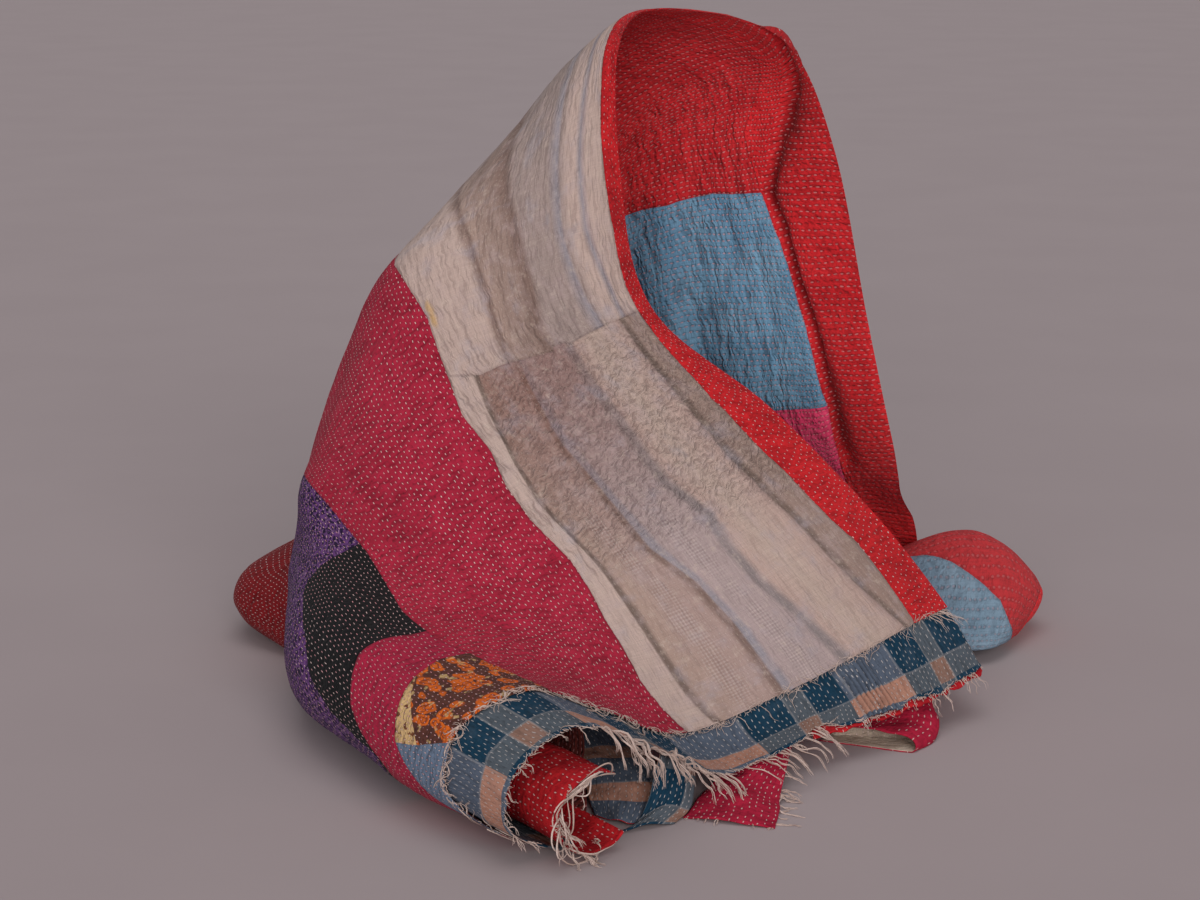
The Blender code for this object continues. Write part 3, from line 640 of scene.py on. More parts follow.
strip_seam, crimson_seam = follow(STRIP_SEAM, along), follow(CRIMSON_SEAM, along)
lower = [follow(fold, along) for fold in (DARK_FOLD, BLUE_FOLD, BROWN_FOLD, PALE_FOLD)]
upper = [follow(fold, along) for fold in (STITCHED_FOLD, FINE_FOLD, UMBER_FOLD, TAUPE_FOLD)]
set_field(top_mesh, "lower_band", bands(across, [strip_seam, *lower, crimson_seam]))
set_field(top_mesh, "upper_band", bands(across, [strip_seam, *upper, crimson_seam]))
set_field(top_mesh, "past_strip", across - strip_seam)
set_field(top_mesh, "past_crimson", across - crimson_seam)
set_field(top_mesh, "past_patches", across - follow(PATCH_SEAM, along))
set_field(top_mesh, "past_cross", along - follow(CROSS_SEAM, across))
set_field(top_mesh, "past_print", along - follow(PRINT_SEAM, across))
set_field(top_mesh, "past_pink", along - follow(PINK_SEAM, across))
set_field(top_mesh, "past_beige", across - follow(BEIGE_SEAM, along))
set_field(top_mesh, "past_blue_grey", across - follow(BLUE_GREY_SEAM, along))
set_field(top_mesh, "past_under", across - follow(UNDER_SEAM, along))
set_field(top_mesh, "past_tip", np.minimum(along - RED_TIP[0], across - RED_TIP[1]))


def node_group(name, inputs, outputs):
    """A shader node group, its Nodes, and its two end nodes. Inputs and outputs are (label, kind)."""
    tree = bpy.data.node_groups.new(name, "ShaderNodeTree")
    for label, kind in inputs:
        tree.interface.new_socket(label, in_out="INPUT", socket_type="NodeSocket" + kind)
    for label, kind in outputs:
        tree.interface.new_socket(label, in_out="OUTPUT", socket_type="NodeSocket" + kind)
    entry, leave = tree.nodes.new("NodeGroupInput"), tree.nodes.new("NodeGroupOutput")
    return tree, Nodes(tree), entry.outputs, leave.inputs


def running_stitch_group():
    """White running stitch in wavering rows: where the thread shows, and the dip that it pulls.

    Rows lie a pitch apart across; along a row the stitches come at their own pitch, every second row
    half a stitch on, each a little long or short, and a few have worn away.
    """
    tree, n, inside, out = node_group(
        "running_stitch",
        (("Across", "Float"), ("Along", "Float"), ("Row Pitch", "Float"), ("Stitch Pitch", "Float"),
         ("Length", "Float"), ("Width", "Float"), ("Worn", "Float")),
        (("Thread", "Float"), ("Dip", "Float")))
    across, along = inside["Across"], inside["Along"]
    slow = n.less(n.noise(n.vector(across, along), 14.0, 1.0), 0.5)
    fine = n.less(n.noise(n.vector(across, along, 4.0), 70.0, 0.0), 0.5)
    wander = n.add(n.times(slow, 0.010), n.times(fine, 0.0026))
    count = n.math("DIVIDE", n.add(across, wander), inside["Row Pitch"])
    row = n.math("FLOOR", count)
    from_row = n.less(n.less(count, row), 0.5)
    jog = n.times(n.chance(row, 3.0), 0.45)
    place = n.add(n.math("DIVIDE", along, inside["Stitch Pitch"]), n.times(row, 0.5), jog,
                  n.times(slow, 1.4))
    stitch = n.math("FLOOR", place)
    from_stitch = n.less(n.less(place, stitch), 0.5)
    luck = n.chance(row, stitch)
    grown = n.add(0.72, n.times(luck, 0.5))
    aslant = n.times(n.less(n.chance(stitch, row), 0.5), from_stitch, 0.35)
    over = n.math("DIVIDE", n.times(n.add(from_row, aslant), inside["Row Pitch"], 2.0), inside["Width"])
    down = n.math("DIVIDE", n.times(from_stitch, inside["Stitch Pitch"], 2.0),
                  n.times(inside["Length"], grown))
    away = n.add(n.times(over, over), n.times(down, down))
    kept = n.smooth(n.less(luck, inside["Worn"]), -0.02, 0.02)
    n.feed(out["Thread"], n.times(n.smooth(away, 1.5, 0.6), kept))
    n.feed(out["Dip"], n.smooth(n.add(n.times(over, over, 0.22), n.times(down, down, 0.16)), 1.0, 0.0))
    return tree


def wrinkle_group():
    """Fine wavy wrinkles drawn out along one direction: a rounded height, and a mask of its furrows that
    the materials darken as painted shade.
    """
    tree, n, inside, out = node_group(
        "wrinkle", (("Across", "Float"), ("Along", "Float"), ("Width", "Float"), ("Reach", "Float")),
        (("Height", "Float"), ("Furrow", "Float")))
    bend = n.less(n.noise(n.vector(inside["Across"], inside["Along"], 2.0), 75.0, 1.0), 0.5)
    place = n.vector(n.math("DIVIDE", n.add(inside["Across"], n.times(bend, 0.012)), inside["Width"]),
                     n.math("DIVIDE", inside["Along"], inside["Reach"]))
    wave = n.noise(place, 1.0, 2.0, 0.55)
    n.feed(out["Height"], n.smooth(wave, 0.30, 0.68))
    n.feed(out["Furrow"], n.smooth(wave, 0.50, 0.34))
    return tree


def weave_group():
    """A plain weave: threads over and under each other, and their uneven colour."""
    tree, n, inside, out = node_group(
        "plain_weave", (("Across", "Float"), ("Along", "Float"), ("Pitch", "Float")),
        (("Height", "Float"), ("Tone", "Float")))
    turns = n.math("DIVIDE", 2 * math.pi, inside["Pitch"])
    over = n.math("SINE", n.times(inside["Across"], turns))
    down = n.math("SINE", n.times(inside["Along"], turns))
    n.feed(out["Height"], n.times(over, down))
    stripes = n.noise(n.vector(n.times(inside["Across"], 900.0), n.times(inside["Along"], 30.0)), 1.0, 1.0)
    slubs = n.noise(n.vector(n.times(inside["Across"], 30.0), n.times(inside["Along"], 900.0)), 1.0, 1.0)
    n.feed(out["Tone"], n.times(n.add(stripes, slubs), 0.5))
    return tree


def seam_group():
    """Which side of a seam: 0 before it and 1 past it, its line a little ragged, and its sunken groove."""
    tree, n, inside, out = node_group(
        "seam", (("Past", "Float"), ("Across", "Float"), ("Along", "Float"), ("Ragged", "Float")),
        (("Share", "Float"), ("Groove", "Float")))
    rag = n.less(n.noise(n.vector(inside["Across"], inside["Along"]), 160.0, 2.0), 0.5)
    past = n.add(inside["Past"], n.times(rag, inside["Ragged"]))
    n.feed(out["Share"], n.smooth(past, -0.0004, 0.0004))
    n.feed(out["Groove"], n.smooth(n.math("ABSOLUTE", past), 0.0030, 0.0))
    return tree


running_stitch, wrinkle, plain_weave, seam = (
    running_stitch_group(), wrinkle_group(), weave_group(), seam_group())

CREAM, PALE_CREAM, PEACH = linear(187, 164, 152), linear(191, 167, 157), linear(185, 158, 148)
TAUPE, UMBER, DARK_TAUPE = linear(170, 144, 136), linear(134, 110, 101), linear(122, 103, 94)
WARM_TAUPE, DULL_TAUPE = linear(172, 146, 134), linear(154, 130, 120)
# The second lilac is the lilac grey darkened as painted shade, used in the upper sari's lilac band.
LILAC_GREY, LILAC_PAINTED_SHADE = linear(172, 152, 150), linear(160, 141, 135)
BLUE_GREY, DULL_BLUE = linear(150, 142, 148), linear(142, 129, 128)
CRIMSON, CRIMSON_DEEP = linear(180, 35, 63), linear(164, 28, 54)
BORDER_RED, BORDER_DEEP = linear(206, 32, 38), linear(176, 22, 30)
STITCH_WHITE, STITCH_PINK = linear(232, 206, 200), linear(222, 150, 156)

# Bands of the two saris in the pale panel, from the red border to the crimson: (bands passed, colour). The
# narrow darker stops on the fold lines are partly the saris' own stripes and partly painted shade in the
# folds.
LOWER_BANDS = ((0.00, DULL_TAUPE), (0.80, DULL_TAUPE), (0.92, DARK_TAUPE), (1.03, DARK_TAUPE),
               (1.06, TAUPE), (1.16, PEACH), (1.55, CREAM), (1.88, PEACH), (1.96, DULL_BLUE),
               (2.04, DULL_BLUE), (2.14, LILAC_GREY), (2.55, LILAC_GREY), (2.84, LILAC_GREY),
               (2.90, BLUE_GREY), (2.97, BLUE_GREY), (3.01, UMBER), (3.08, UMBER), (3.16, TAUPE),
               (3.50, TAUPE), (3.86, WARM_TAUPE), (3.93, WARM_TAUPE), (3.99, DARK_TAUPE),
               (4.10, DARK_TAUPE), (4.16, PALE_CREAM), (5.00, PALE_CREAM))
UPPER_BANDS = ((0.00, PALE_CREAM), (0.85, PALE_CREAM), (0.97, LILAC_GREY), (1.10, BLUE_GREY),
               (1.30, PALE_CREAM), (1.62, PALE_CREAM), (1.92, LILAC_PAINTED_SHADE), (2.02, BLUE_GREY),
               (2.20, LILAC_PAINTED_SHADE), (2.82, LILAC_PAINTED_SHADE), (2.96, UMBER), (3.10, UMBER), (3.25, DULL_TAUPE),
               (3.60, DULL_TAUPE), (3.86, WARM_TAUPE), (3.95, UMBER), (4.03, DULL_TAUPE),
               (4.12, PALE_CREAM), (5.00, PALE_CREAM))


STAIN_PLACE = (0.384, 0.572)         # (across, along) in metres


def band_stops(table):
    """The table as ramp stops: five bands over the ramp's length."""
    return [(passed / 5.0, colour) for passed, colour in table]


def pale_panel(n, across, along):
    """The two worn saris pieced end to end: banded, streaked and mottled, with one faint yellow stain."""
    sway = n.times(n.less(n.noise(n.vector(across, along), 26.0, 3.0), 0.5), 0.035)
    lower = n.ramp(n.math("DIVIDE", n.add(n.field("lower_band"), sway), 5.0), band_stops(LOWER_BANDS))
    upper = n.ramp(n.math("DIVIDE", n.add(n.field("upper_band"), sway), 5.0), band_stops(UPPER_BANDS))
    cross = n.use(seam, past=n.field("past_cross"), across=across, along=along, ragged=0.0012)
    # Darker and browner over the lower sari towards the cross seam.
    darker_near_cross_seam = n.times(n.smooth(along, 0.18, 0.47), n.smooth(n.field("lower_band"), 1.7, 2.2),
                     n.smooth(n.field("lower_band"), 4.05, 3.9), 0.66)
    lower = n.blend(darker_near_cross_seam, lower, linear(140, 102, 92))
    colour = n.blend(cross["Share"], lower, upper)
    mottle = n.noise(n.vector(across, along), 34.0, 5.0, 0.65)
    colour = n.blend(n.times(n.smooth(mottle, 0.45, 0.70), 0.45), colour, linear(182, 160, 158))
    blue = n.noise(n.vector(across, along, 9.0), 21.0, 4.0, 0.6)
    colour = n.blend(n.times(n.smooth(blue, 0.52, 0.74), 0.38), colour, linear(164, 160, 172))
    bare = n.noise(n.vector(across, along, 5.0), 60.0, 4.0, 0.7)
    colour = n.blend(n.times(n.smooth(bare, 0.52, 0.76), 0.45), colour, linear(208, 188, 174))
    streak = n.noise(n.vector(n.times(across, 260.0), n.times(along, 16.0)), 1.0, 3.0)
    colour = n.blend(n.times(n.smooth(streak, 0.56, 0.74), 0.10), colour, DARK_TAUPE)
    beside, beyond = n.less(across, STAIN_PLACE[0]), n.less(along, STAIN_PLACE[1])
    spread = n.add(n.math("POWER", n.times(beside, 110.0), 2.0),
                   n.math("POWER", n.times(beyond, 42.0), 2.0))
    uneven = n.times(n.noise(n.vector(across, along, 2.0), 90.0, 3.0), 1.6)
    stain = n.smooth(n.add(spread, uneven), 1.6, 0.6)
    colour = n.blend(n.times(stain, 0.7), colour, linear(214, 168, 92))
    return colour, cross["Groove"]


def scribble_print(n, across, along, ground, line, spot, size):
    """A common all-over print: a wandering network of light line on a dark ground, with small spots."""
    bent = n.times(n.less(n.noise(n.vector(across, along), 90.0, 1.0), 0.5), 0.012)
    place = n.vector(n.add(across, bent), n.less(along, bent))
    cells = n.put("ShaderNodeTexVoronoi", {"feature": "DISTANCE_TO_EDGE"}, vector=place, scale=size)
    network = n.smooth(cells.outputs["Distance"], 0.16, 0.05)
    small = n.put("ShaderNodeTexVoronoi", {"feature": "F1"}, vector=place, scale=size * 2.1)
    dots = n.smooth(small.outputs["Distance"], 0.30, 0.20)
    colour = n.blend(network, ground, line)
    return n.blend(n.times(dots, 0.8), colour, spot)


def leaf_print(n, across, along):
    """A common leaf print: orange ovals edged in brown on a brown ground, a little misprinted."""
    bent = n.times(n.less(n.noise(n.vector(across, along, 6.0), 45.0, 2.0), 0.5), 0.02)
    place = n.vector(n.add(across, bent), n.times(n.add(along, bent), 0.62))
    leaves = n.put("ShaderNodeTexVoronoi", {"feature": "SMOOTH_F1"}, vector=place, scale=62.0,
                   smoothness=0.25)
    inside = n.smooth(leaves.outputs["Distance"], 0.52, 0.44)
    vein = n.smooth(n.math("ABSOLUTE", n.less(leaves.outputs["Distance"], 0.26)), 0.06, 0.02)
    colour = n.blend(inside, linear(92, 50, 40), linear(220, 102, 22))
    colour = n.blend(n.times(vein, 0.8), colour, linear(122, 46, 30))
    pale = n.smooth(n.noise(n.vector(across, along, 8.0), 70.0, 2.0), 0.60, 0.66)
    return n.blend(n.times(pale, 0.6), colour, linear(226, 190, 130))


def patch_column(n, across, along):
    """The pieced column along the roll, in the order in which its prints were sewn on."""
    leaves = leaf_print(n, across, along)
    beige = n.blend(n.smooth(n.noise(n.vector(across, along, 3.0), 95.0, 3.0), 0.56, 0.62),
                    linear(214, 176, 124), linear(120, 70, 40))
    purple = scribble_print(n, across, along, linear(34, 12, 52), linear(102, 60, 118),
                            linear(158, 122, 156), 105.0)
    ochre = scribble_print(n, across, along, linear(196, 120, 36), linear(120, 52, 26),
                           linear(228, 190, 120), 110.0)
    black = n.blend(n.noise(n.vector(across, along, 1.0), 120.0, 3.0), linear(9, 9, 11), linear(22, 21, 24))
    pink = n.blend(n.noise(n.vector(across, along, 7.0), 60.0, 3.0), linear(160, 20, 54),
                   linear(180, 32, 68))
    blue_grey = n.blend(n.noise(n.vector(across, along, 5.5), 60.0, 3.0), linear(92, 108, 132),
                        linear(120, 136, 158))
    # The tip's red is darker than the other reds: partly the cloth's own red, partly painted shade where
    # the far left end lies in shadow.
    red = n.blend(n.noise(n.vector(across, along, 2.5), 50.0, 3.0), linear(112, 8, 14), linear(138, 14, 22))
    edge = {"across": across, "along": along, "ragged": 0.0016}
    beige_side = n.use(seam, past=n.field("past_beige"), **edge)["Share"]
    grey_side = n.use(seam, past=n.field("past_blue_grey"), **edge)["Share"]
    colour = n.blend(grey_side, n.blend(beige_side, leaves, beige), blue_grey)
    pink_side = n.use(seam, past=n.field("past_print"), **edge)
    colour = n.blend(pink_side["Share"], colour, pink)
    black_side = n.use(seam, past=n.field("past_pink"), **edge)
    colour = n.blend(black_side["Share"], colour, black)
    below = n.use(seam, past=n.field("past_under"), **edge)["Share"]
    colour = n.blend(n.times(below, n.smooth(along, 0.13, 0.135)), colour, purple)
    groove = n.add(pink_side["Groove"], black_side["Groove"])
    for start, cloth_colour in ((0.375, purple), (0.62, ochre), (0.78, blue_grey), (0.98, black),
                                (1.28, pink), (1.56, ochre), (1.80, purple)):
        side = n.use(seam, past=n.less(along, start), **edge)
        colour = n.blend(side["Share"], colour, cloth_colour)
        groove = n.add(groove, side["Groove"])
    return n.blend(n.use(seam, past=n.field("past_tip"), **edge)["Share"], colour, red), groove


LADDER_PITCH = 0.0080                # metres from rung to rung of the criss-cross darning


def top_material():
    """Every patch of the top in one shader, with its stitches, wrinkles, seams and weave, and painted shade
    in its furrows, stitch dips and seam grooves.
    """
    material, shader, n = new_material("patchwork_cotton", 0.88)
    across, along = n.cloth_metres()
    edge = {"across": across, "along": along}
    panel, cross_groove = pale_panel(n, across, along)
    patches, patch_grooves = patch_column(n, across, along)
    weave = n.use(plain_weave, across=across, along=along, pitch=0.0009)
    worn = n.noise(n.vector(across, along, 3.3), 28.0, 4.0, 0.6)
    crimson = n.blend(n.smooth(worn, 0.35, 0.72), CRIMSON_DEEP, CRIMSON)
    border = n.blend(n.smooth(worn, 0.30, 0.60), BORDER_DEEP, BORDER_RED)
    past_strip = n.use(seam, past=n.field("past_strip"), ragged=0.0030, **edge)
    past_crimson = n.use(seam, past=n.field("past_crimson"), ragged=0.0022, **edge)
    past_patches = n.use(seam, past=n.field("past_patches"), ragged=0.0020, **edge)
    colour = n.blend(past_strip["Share"], border, panel)
    colour = n.blend(past_crimson["Share"], colour, crimson)
    colour = n.blend(past_patches["Share"], colour, patches)
    on_panel = n.times(past_strip["Share"], n.less(1.0, past_crimson["Share"]))

    lengthwise = n.use(wrinkle, across=across, along=along, width=0.0064, reach=0.040)
    crosswise = n.use(wrinkle, across=along, along=across, width=0.0056, reach=0.030)
    cell = n.use(wrinkle, across=n.add(along, n.times(across, 0.35)), along=across, width=0.0036,
                 reach=0.0150)
    lower_band = n.field("lower_band")
    crumpled = n.times(n.between(along, 0.16, 0.52, 0.08), n.smooth(lower_band, 4.05, 3.90), on_panel)
    furrow = n.blend(on_panel, crosswise["Furrow"], n.blend(crumpled, lengthwise["Furrow"], cell["Furrow"]))
    swell = n.blend(on_panel, crosswise["Height"], n.blend(crumpled, lengthwise["Height"], cell["Height"]))
    flatter = n.add(1.0, n.times(on_panel, n.smooth(along, 0.26, 0.16), -0.65),
                    n.times(on_panel, n.smooth(along, 0.48, 0.56), -0.40))
    on_strip = n.less(1.0, past_strip["Share"])
    stitch = n.use(running_stitch, across=across, along=along, stitch_pitch=0.0088, width=0.0011, worn=0.06,
                   row_pitch=n.add(0.0066, n.times(on_strip, n.smooth(along, 0.5, 0.7), 0.0040)),
                   length=n.add(0.0030, n.times(on_strip, -0.0010)))
    laddered = n.add(n.between(lower_band, 2.34, 2.72, 0.08), n.between(lower_band, 3.34, 3.70, 0.08))
    laddered = n.times(laddered, on_panel, n.smooth(along, 0.34, 0.24), n.smooth(worn, 0.30, 0.55))
    slant = 2 * math.pi / LADDER_PITCH
    ladder = n.times(n.math("SINE", n.times(n.add(across, along), slant)),
                     n.math("SINE", n.times(n.less(across, along), slant)))
    grooves = n.math("MINIMUM", n.add(past_strip["Groove"], past_crimson["Groove"], past_patches["Groove"],
                                      n.times(cross_groove, on_panel),
                                      n.times(patch_grooves, past_patches["Share"])), 1.0)
    faint = n.add(1.0, n.times(on_panel, -0.75))
    # Painted shade: the colour darkens in the wrinkles' furrows, in the dips that the stitches pull, in the
    # seam grooves and between the rungs of the darning.
    shade = n.add(n.times(furrow, flatter, 0.46), n.times(stitch["Dip"], faint, 0.16),
                  n.times(grooves, 0.25), n.times(laddered, n.smooth(ladder, -0.1, -0.7), 0.16))
    colour = n.blend(shade, colour, n.blend(1.0, colour, (0.30, 0.26, 0.27, 1.0), "MULTIPLY"))
    colour = n.blend(n.times(laddered, n.smooth(ladder, 0.1, 0.7), 0.26), colour, linear(208, 194, 188))
    colour = n.blend(1.0, colour, n.add(0.66, n.times(weave["Tone"], 0.68)), "MULTIPLY")
    thread = n.blend(on_panel, n.blend(n.chance(n.math("FLOOR", n.times(across, 147.0)), 5.0), STITCH_WHITE,
                                       STITCH_PINK), linear(216, 200, 188))
    shows = n.times(stitch["Thread"], faint, 0.92)
    colour = n.blend(shows, colour, thread)
    n.feed(shader.inputs["Base Color"], colour)
    n.feed(shader.inputs["Roughness"], n.add(0.82, n.times(furrow, 0.1)))
    height = n.add(n.times(swell, flatter, n.add(0.0019, n.times(crumpled, 0.0004))),
                   n.times(stitch["Dip"], faint, -0.0009), n.times(stitch["Thread"], faint, 0.0003),
                   n.times(grooves, -0.0009), n.times(weave["Height"], 0.00003),
                   n.times(laddered, ladder, 0.0003))
    bump = n.put("ShaderNodeBump", height=height, distance=1.0, strength=0.9)
    n.feed(shader.inputs["Normal"], bump.outputs["Normal"])
    shader.inputs["Sheen Weight"].default_value = 0.03
    shader.inputs["Sheen Roughness"].default_value = 0.6
    return material


quilt_top = new_object("quilt_top", top_mesh, top_material())
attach(quilt_top, "root")
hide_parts("quilt")


# ---------------------------------------------------------------------------------------------------
# The quilt's lining: red, sky blue and magenta cottons in broad panels, quilted together with the top,
# so its rows of stitches show as lighter dashes. It is the inside of the hood and the far end's face.
# ---------------------------------------------------------------------------------------------------

LINING_ROW_STEPS = (18, 22, 22, 20, 22, 16, 24, 34, 42, 36, 42, 22, 20, 12)
LINING_LINE_STEPS = (12, 20, 24, 26, 22, 14, 12, 12, 10, 8, 7, 6, 5)
LINING_BORDER = ((0.0, 0.06), (0.93, 0.06), (1.15, 0.135), (1.232, 0.123), (1.289, 0.108), (1.502, 0.071),
                 (1.62, 0.075), (1.80, 0.080), (2.05, 0.060))
SKY_TOP = ((0.0, 1.240), (0.123, 1.232), (0.20, 1.227), (0.262, 1.233), (0.311, 1.220), (1.2, 1.23))
MAGENTA_TOP = ((0.0, 1.503), (0.16, 1.505), (1.2, 1.50))
FAR_SKY = ((0.0, 2.20), (0.085, 2.02), (0.104, 1.983), (0.145, 1.956), (0.199, 1.938), (0.241, 1.918),
           (0.32, 1.895), (1.2, 1.87))
PLEAT_SPAN = (1.06, 1.56)           # metres along where the back wall is gathered into fine pleats

rows, lines, along, across = quilt_places(LINING_ROW_STEPS, LINING_LINE_STEPS)
lining_middle = cloth(rows, lines)
pleats = window(along, *PLEAT_SPAN, 0.08) * window(across, 0.15, 0.60, 0.05)
sag = 0.0018 * pleats * drift(across / 0.0095, along / 0.055, 21)
sag += 0.0006 * (1 - pleats) * drift(across / 0.020, along / 0.012, 22)
depth = FACE_HEIGHT + sag
depth = depth * rim_share(depth.shape)
swell = folds(along, across) * np.minimum(rim_share(depth.shape) * 4, 1)
lining_grid = lining_middle + normals(lining_middle) * (swell - depth)[..., None]
lining_grid[..., 2] = np.maximum(lining_grid[..., 2], 0.0006)
lining_mesh = grid_mesh("quilt_lining", lining_grid, flipped=True)
set_cloth_map(lining_mesh, across, along)
set_field(lining_mesh, "past_border", across - follow(LINING_BORDER, along))
set_field(lining_mesh, "past_sky", along - follow(SKY_TOP, across))
set_field(lining_mesh, "past_magenta", along - follow(MAGENTA_TOP, across))
set_field(lining_mesh, "past_far_sky", along - follow(FAR_SKY, across))
set_field(lining_mesh, "pleated", pleats)
# A field of painted shade along the hood's crease, wider on the column's side than on the interior's.
from_fold = across - follow(HOOD_FOLD, along)
from_fold /= np.where(from_fold < 0, 0.0090 + 0.0210 * window(along, 1.03, 1.24, 0.06), 0.0070)
set_field(lining_mesh, "hood_crease", np.exp(-from_fold**2) * window(along, 1.02, 1.55, 0.04))


def lining_material():
    """The lining's panels, its dashes of stitch lying crosswise, and the furrows between them, with painted
    shade in the furrows, stitch dips and seam grooves and along the hood's crease.
    """
    material, shader, n = new_material("lining_cotton", 0.9)
    across, along = n.cloth_metres()
    edge = {"across": across, "along": along, "ragged": 0.0012}
    weave = n.use(plain_weave, across=across, along=along, pitch=0.0009)
    worn = n.noise(n.vector(across, along, 1.3), 24.0, 4.0, 0.6)
    red = n.blend(n.smooth(worn, 0.3, 0.7), linear(200, 36, 44), linear(222, 48, 54))
    border_red = n.blend(n.smooth(worn, 0.3, 0.7), linear(218, 36, 44), linear(238, 48, 54))
    sky = n.blend(n.smooth(worn, 0.3, 0.7), linear(106, 151, 183), linear(128, 171, 200))
    # The magenta is brighter than the cloth's own dye: partly its colour, partly painted light where the
    # hood's right wall shades it.
    magenta = n.blend(n.smooth(worn, 0.3, 0.7), linear(244, 68, 114), linear(252, 88, 128))
    far_end = n.smooth(along, 1.58, 1.72)
    red = n.blend(n.times(far_end, 0.75), red, linear(188, 54, 58))
    dusty_sky = n.blend(n.smooth(worn, 0.3, 0.7), linear(116, 142, 162), linear(136, 158, 176))
    madder = n.blend(n.smooth(worn, 0.3, 0.7), linear(104, 40, 36), linear(124, 52, 44))
    border = n.use(seam, past=n.field("past_border"), **edge)
    to_sky = n.use(seam, past=n.field("past_sky"), **edge)
    to_magenta = n.use(seam, past=n.field("past_magenta"), **edge)
    to_red = n.use(seam, past=n.less(along, 1.68), **edge)
    far_sky = n.use(seam, past=n.field("past_far_sky"), **edge)
    to_front = n.use(seam, past=n.less(0.58, along), **edge)
    colour = n.blend(to_sky["Share"], red, sky)
    colour = n.blend(to_magenta["Share"], colour, magenta)
    colour = n.blend(to_red["Share"], colour, red)
    colour = n.blend(to_front["Share"], colour, madder)
    colour = n.blend(border["Share"], border_red, colour)
    colour = n.blend(far_sky["Share"], colour, dusty_sky)
    grooves = n.math("MINIMUM", n.add(border["Groove"], to_sky["Groove"], to_magenta["Groove"],
                                      to_red["Groove"], far_sky["Groove"]), 1.0)
    stitch = n.use(running_stitch, across=along, along=across, row_pitch=0.0072, stitch_pitch=0.0070,
                   length=0.0034, width=0.0018, worn=0.08)
    pleat = n.use(wrinkle, across=across, along=along, width=0.0074, reach=0.040)
    pebble = n.use(wrinkle, across=along, along=across, width=0.0062, reach=0.011)
    furrow = n.blend(n.field("pleated"), pebble["Furrow"], pleat["Furrow"])
    swell = n.blend(n.field("pleated"), pebble["Height"], pleat["Height"])
    # Painted shade: the colour darkens in the furrows, the stitch dips, the seam grooves and along the
    # hood's crease.
    shade = n.add(n.times(furrow, n.add(0.26, n.times(n.field("pleated"), 0.22))),
                  n.times(stitch["Dip"], 0.20), n.times(grooves, 0.3),
                  n.times(n.field("hood_crease"), 0.92))
    colour = n.blend(shade, colour, n.blend(1.0, colour, (0.30, 0.26, 0.27, 1.0), "MULTIPLY"))
    colour = n.blend(1.0, colour, n.add(0.66, n.times(weave["Tone"], 0.68)), "MULTIPLY")
    shows = n.times(stitch["Thread"], n.add(0.50, n.times(far_end, -0.34)))
    colour = n.blend(shows, colour, linear(232, 166, 166))
    n.feed(shader.inputs["Base Color"], colour)
    height = n.add(n.times(swell, n.add(0.0017, n.times(n.field("pleated"), 0.0009))),
                   n.times(stitch["Dip"], -0.0010), n.times(stitch["Thread"], 0.0003),
                   n.times(grooves, -0.0009),
                   n.times(weave["Height"], 0.00003))
    bump = n.put("ShaderNodeBump", height=height, distance=1.0, strength=0.9)
    n.feed(shader.inputs["Normal"], bump.outputs["Normal"])
    shader.inputs["Sheen Weight"].default_value = 0.03
    shader.inputs["Sheen Roughness"].default_value = 0.6
    return material


quilt_lining = new_object("quilt_lining", lining_mesh, lining_material())
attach(quilt_lining, "root")
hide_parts("quilt")


# ---------------------------------------------------------------------------------------------------
# The plaid layer: an older check cotton kept inside the quilt as filling, which shows where the end has
# frayed back. It is stitched with white dashes, and one place is gathered into ridges.
# ---------------------------------------------------------------------------------------------------

LAYER_GAP = 0.0012
PLAID_THICKNESS = LAYER_THICKNESS = 0.0016
BELOW_QUILT = QUILT_THICKNESS / 2 + LAYER_GAP + PLAID_THICKNESS / 2
BELOW_PLAID = BELOW_QUILT + PLAID_THICKNESS / 2 + LAYER_GAP + LAYER_THICKNESS / 2
PLAID_ROWS, PLAID_LAST_LINE = (0.06, 1.14), 9
GATHER_ACROSS, GATHER_PITCH, GATHER_HEIGHT = (0.164, 0.206), 0.0072, 0.0030
TORN_IN, TORN_OUT = 0.16, 0.05      # how far, in rows, the frayed edge runs in and out

NAVY, CHECK_GREY, CHECK_BLUE = linear(17, 56, 78), linear(86, 94, 102), linear(88, 98, 114)
CHECK_TAN, CHECK_PEACH, CHECK_LINE = linear(146, 112, 98), linear(184, 134, 114), linear(158, 154, 154)
SETT_ACROSS = 0.215                  # one repeat: bar, narrow light, bar, wide light
SETT_LINES = (0.22, 0.345, 0.60, 0.97)       # shares of a repeat where the fine pale lines run
SETT_ALONG = ((-0.108, -0.070), (-0.042, 0.004), (0.032, 0.078))     # where the bars across lie


def layer_grid(row_span, row_steps, line_span, line_steps, below, torn=None):
    """A layer this far below the quilt's middle surface, with its flat metres.

    Torn shifts its first row.
    """
    down, over = np.meshgrid(np.linspace(0, 1, row_steps), np.linspace(*line_span, line_steps),
                             indexing="ij")
    first = row_span[0] + (torn(over) if torn else 0.0)
    rows = first + (row_span[1] - first) * down
    along = np.interp(rows, np.arange(LAST_ROW + 1), ALONG_AT_ROWS)
    across = np.interp(over, np.arange(LAST_LINE + 1), ACROSS_AT_LINES)
    grid = cloth(rows, over)
    normal = normals(grid)
    grid = grid + normal * (folds(along, across) - below)[..., None]
    return grid, normal, across, along


def torn_edge(lines):
    """The plaid's frayed edge: small tears all along, and a notch at the fold before the gathers."""
    small = 0.035 * drift(lines * 5.0, lines * 0, 31) + 0.018 * drift(lines * 17.0, lines * 0, 32)
    notch = TORN_IN * np.exp(-(((lines - 2.88) / 0.16) ** 2))
    return np.clip(small + notch, -TORN_OUT, TORN_IN)


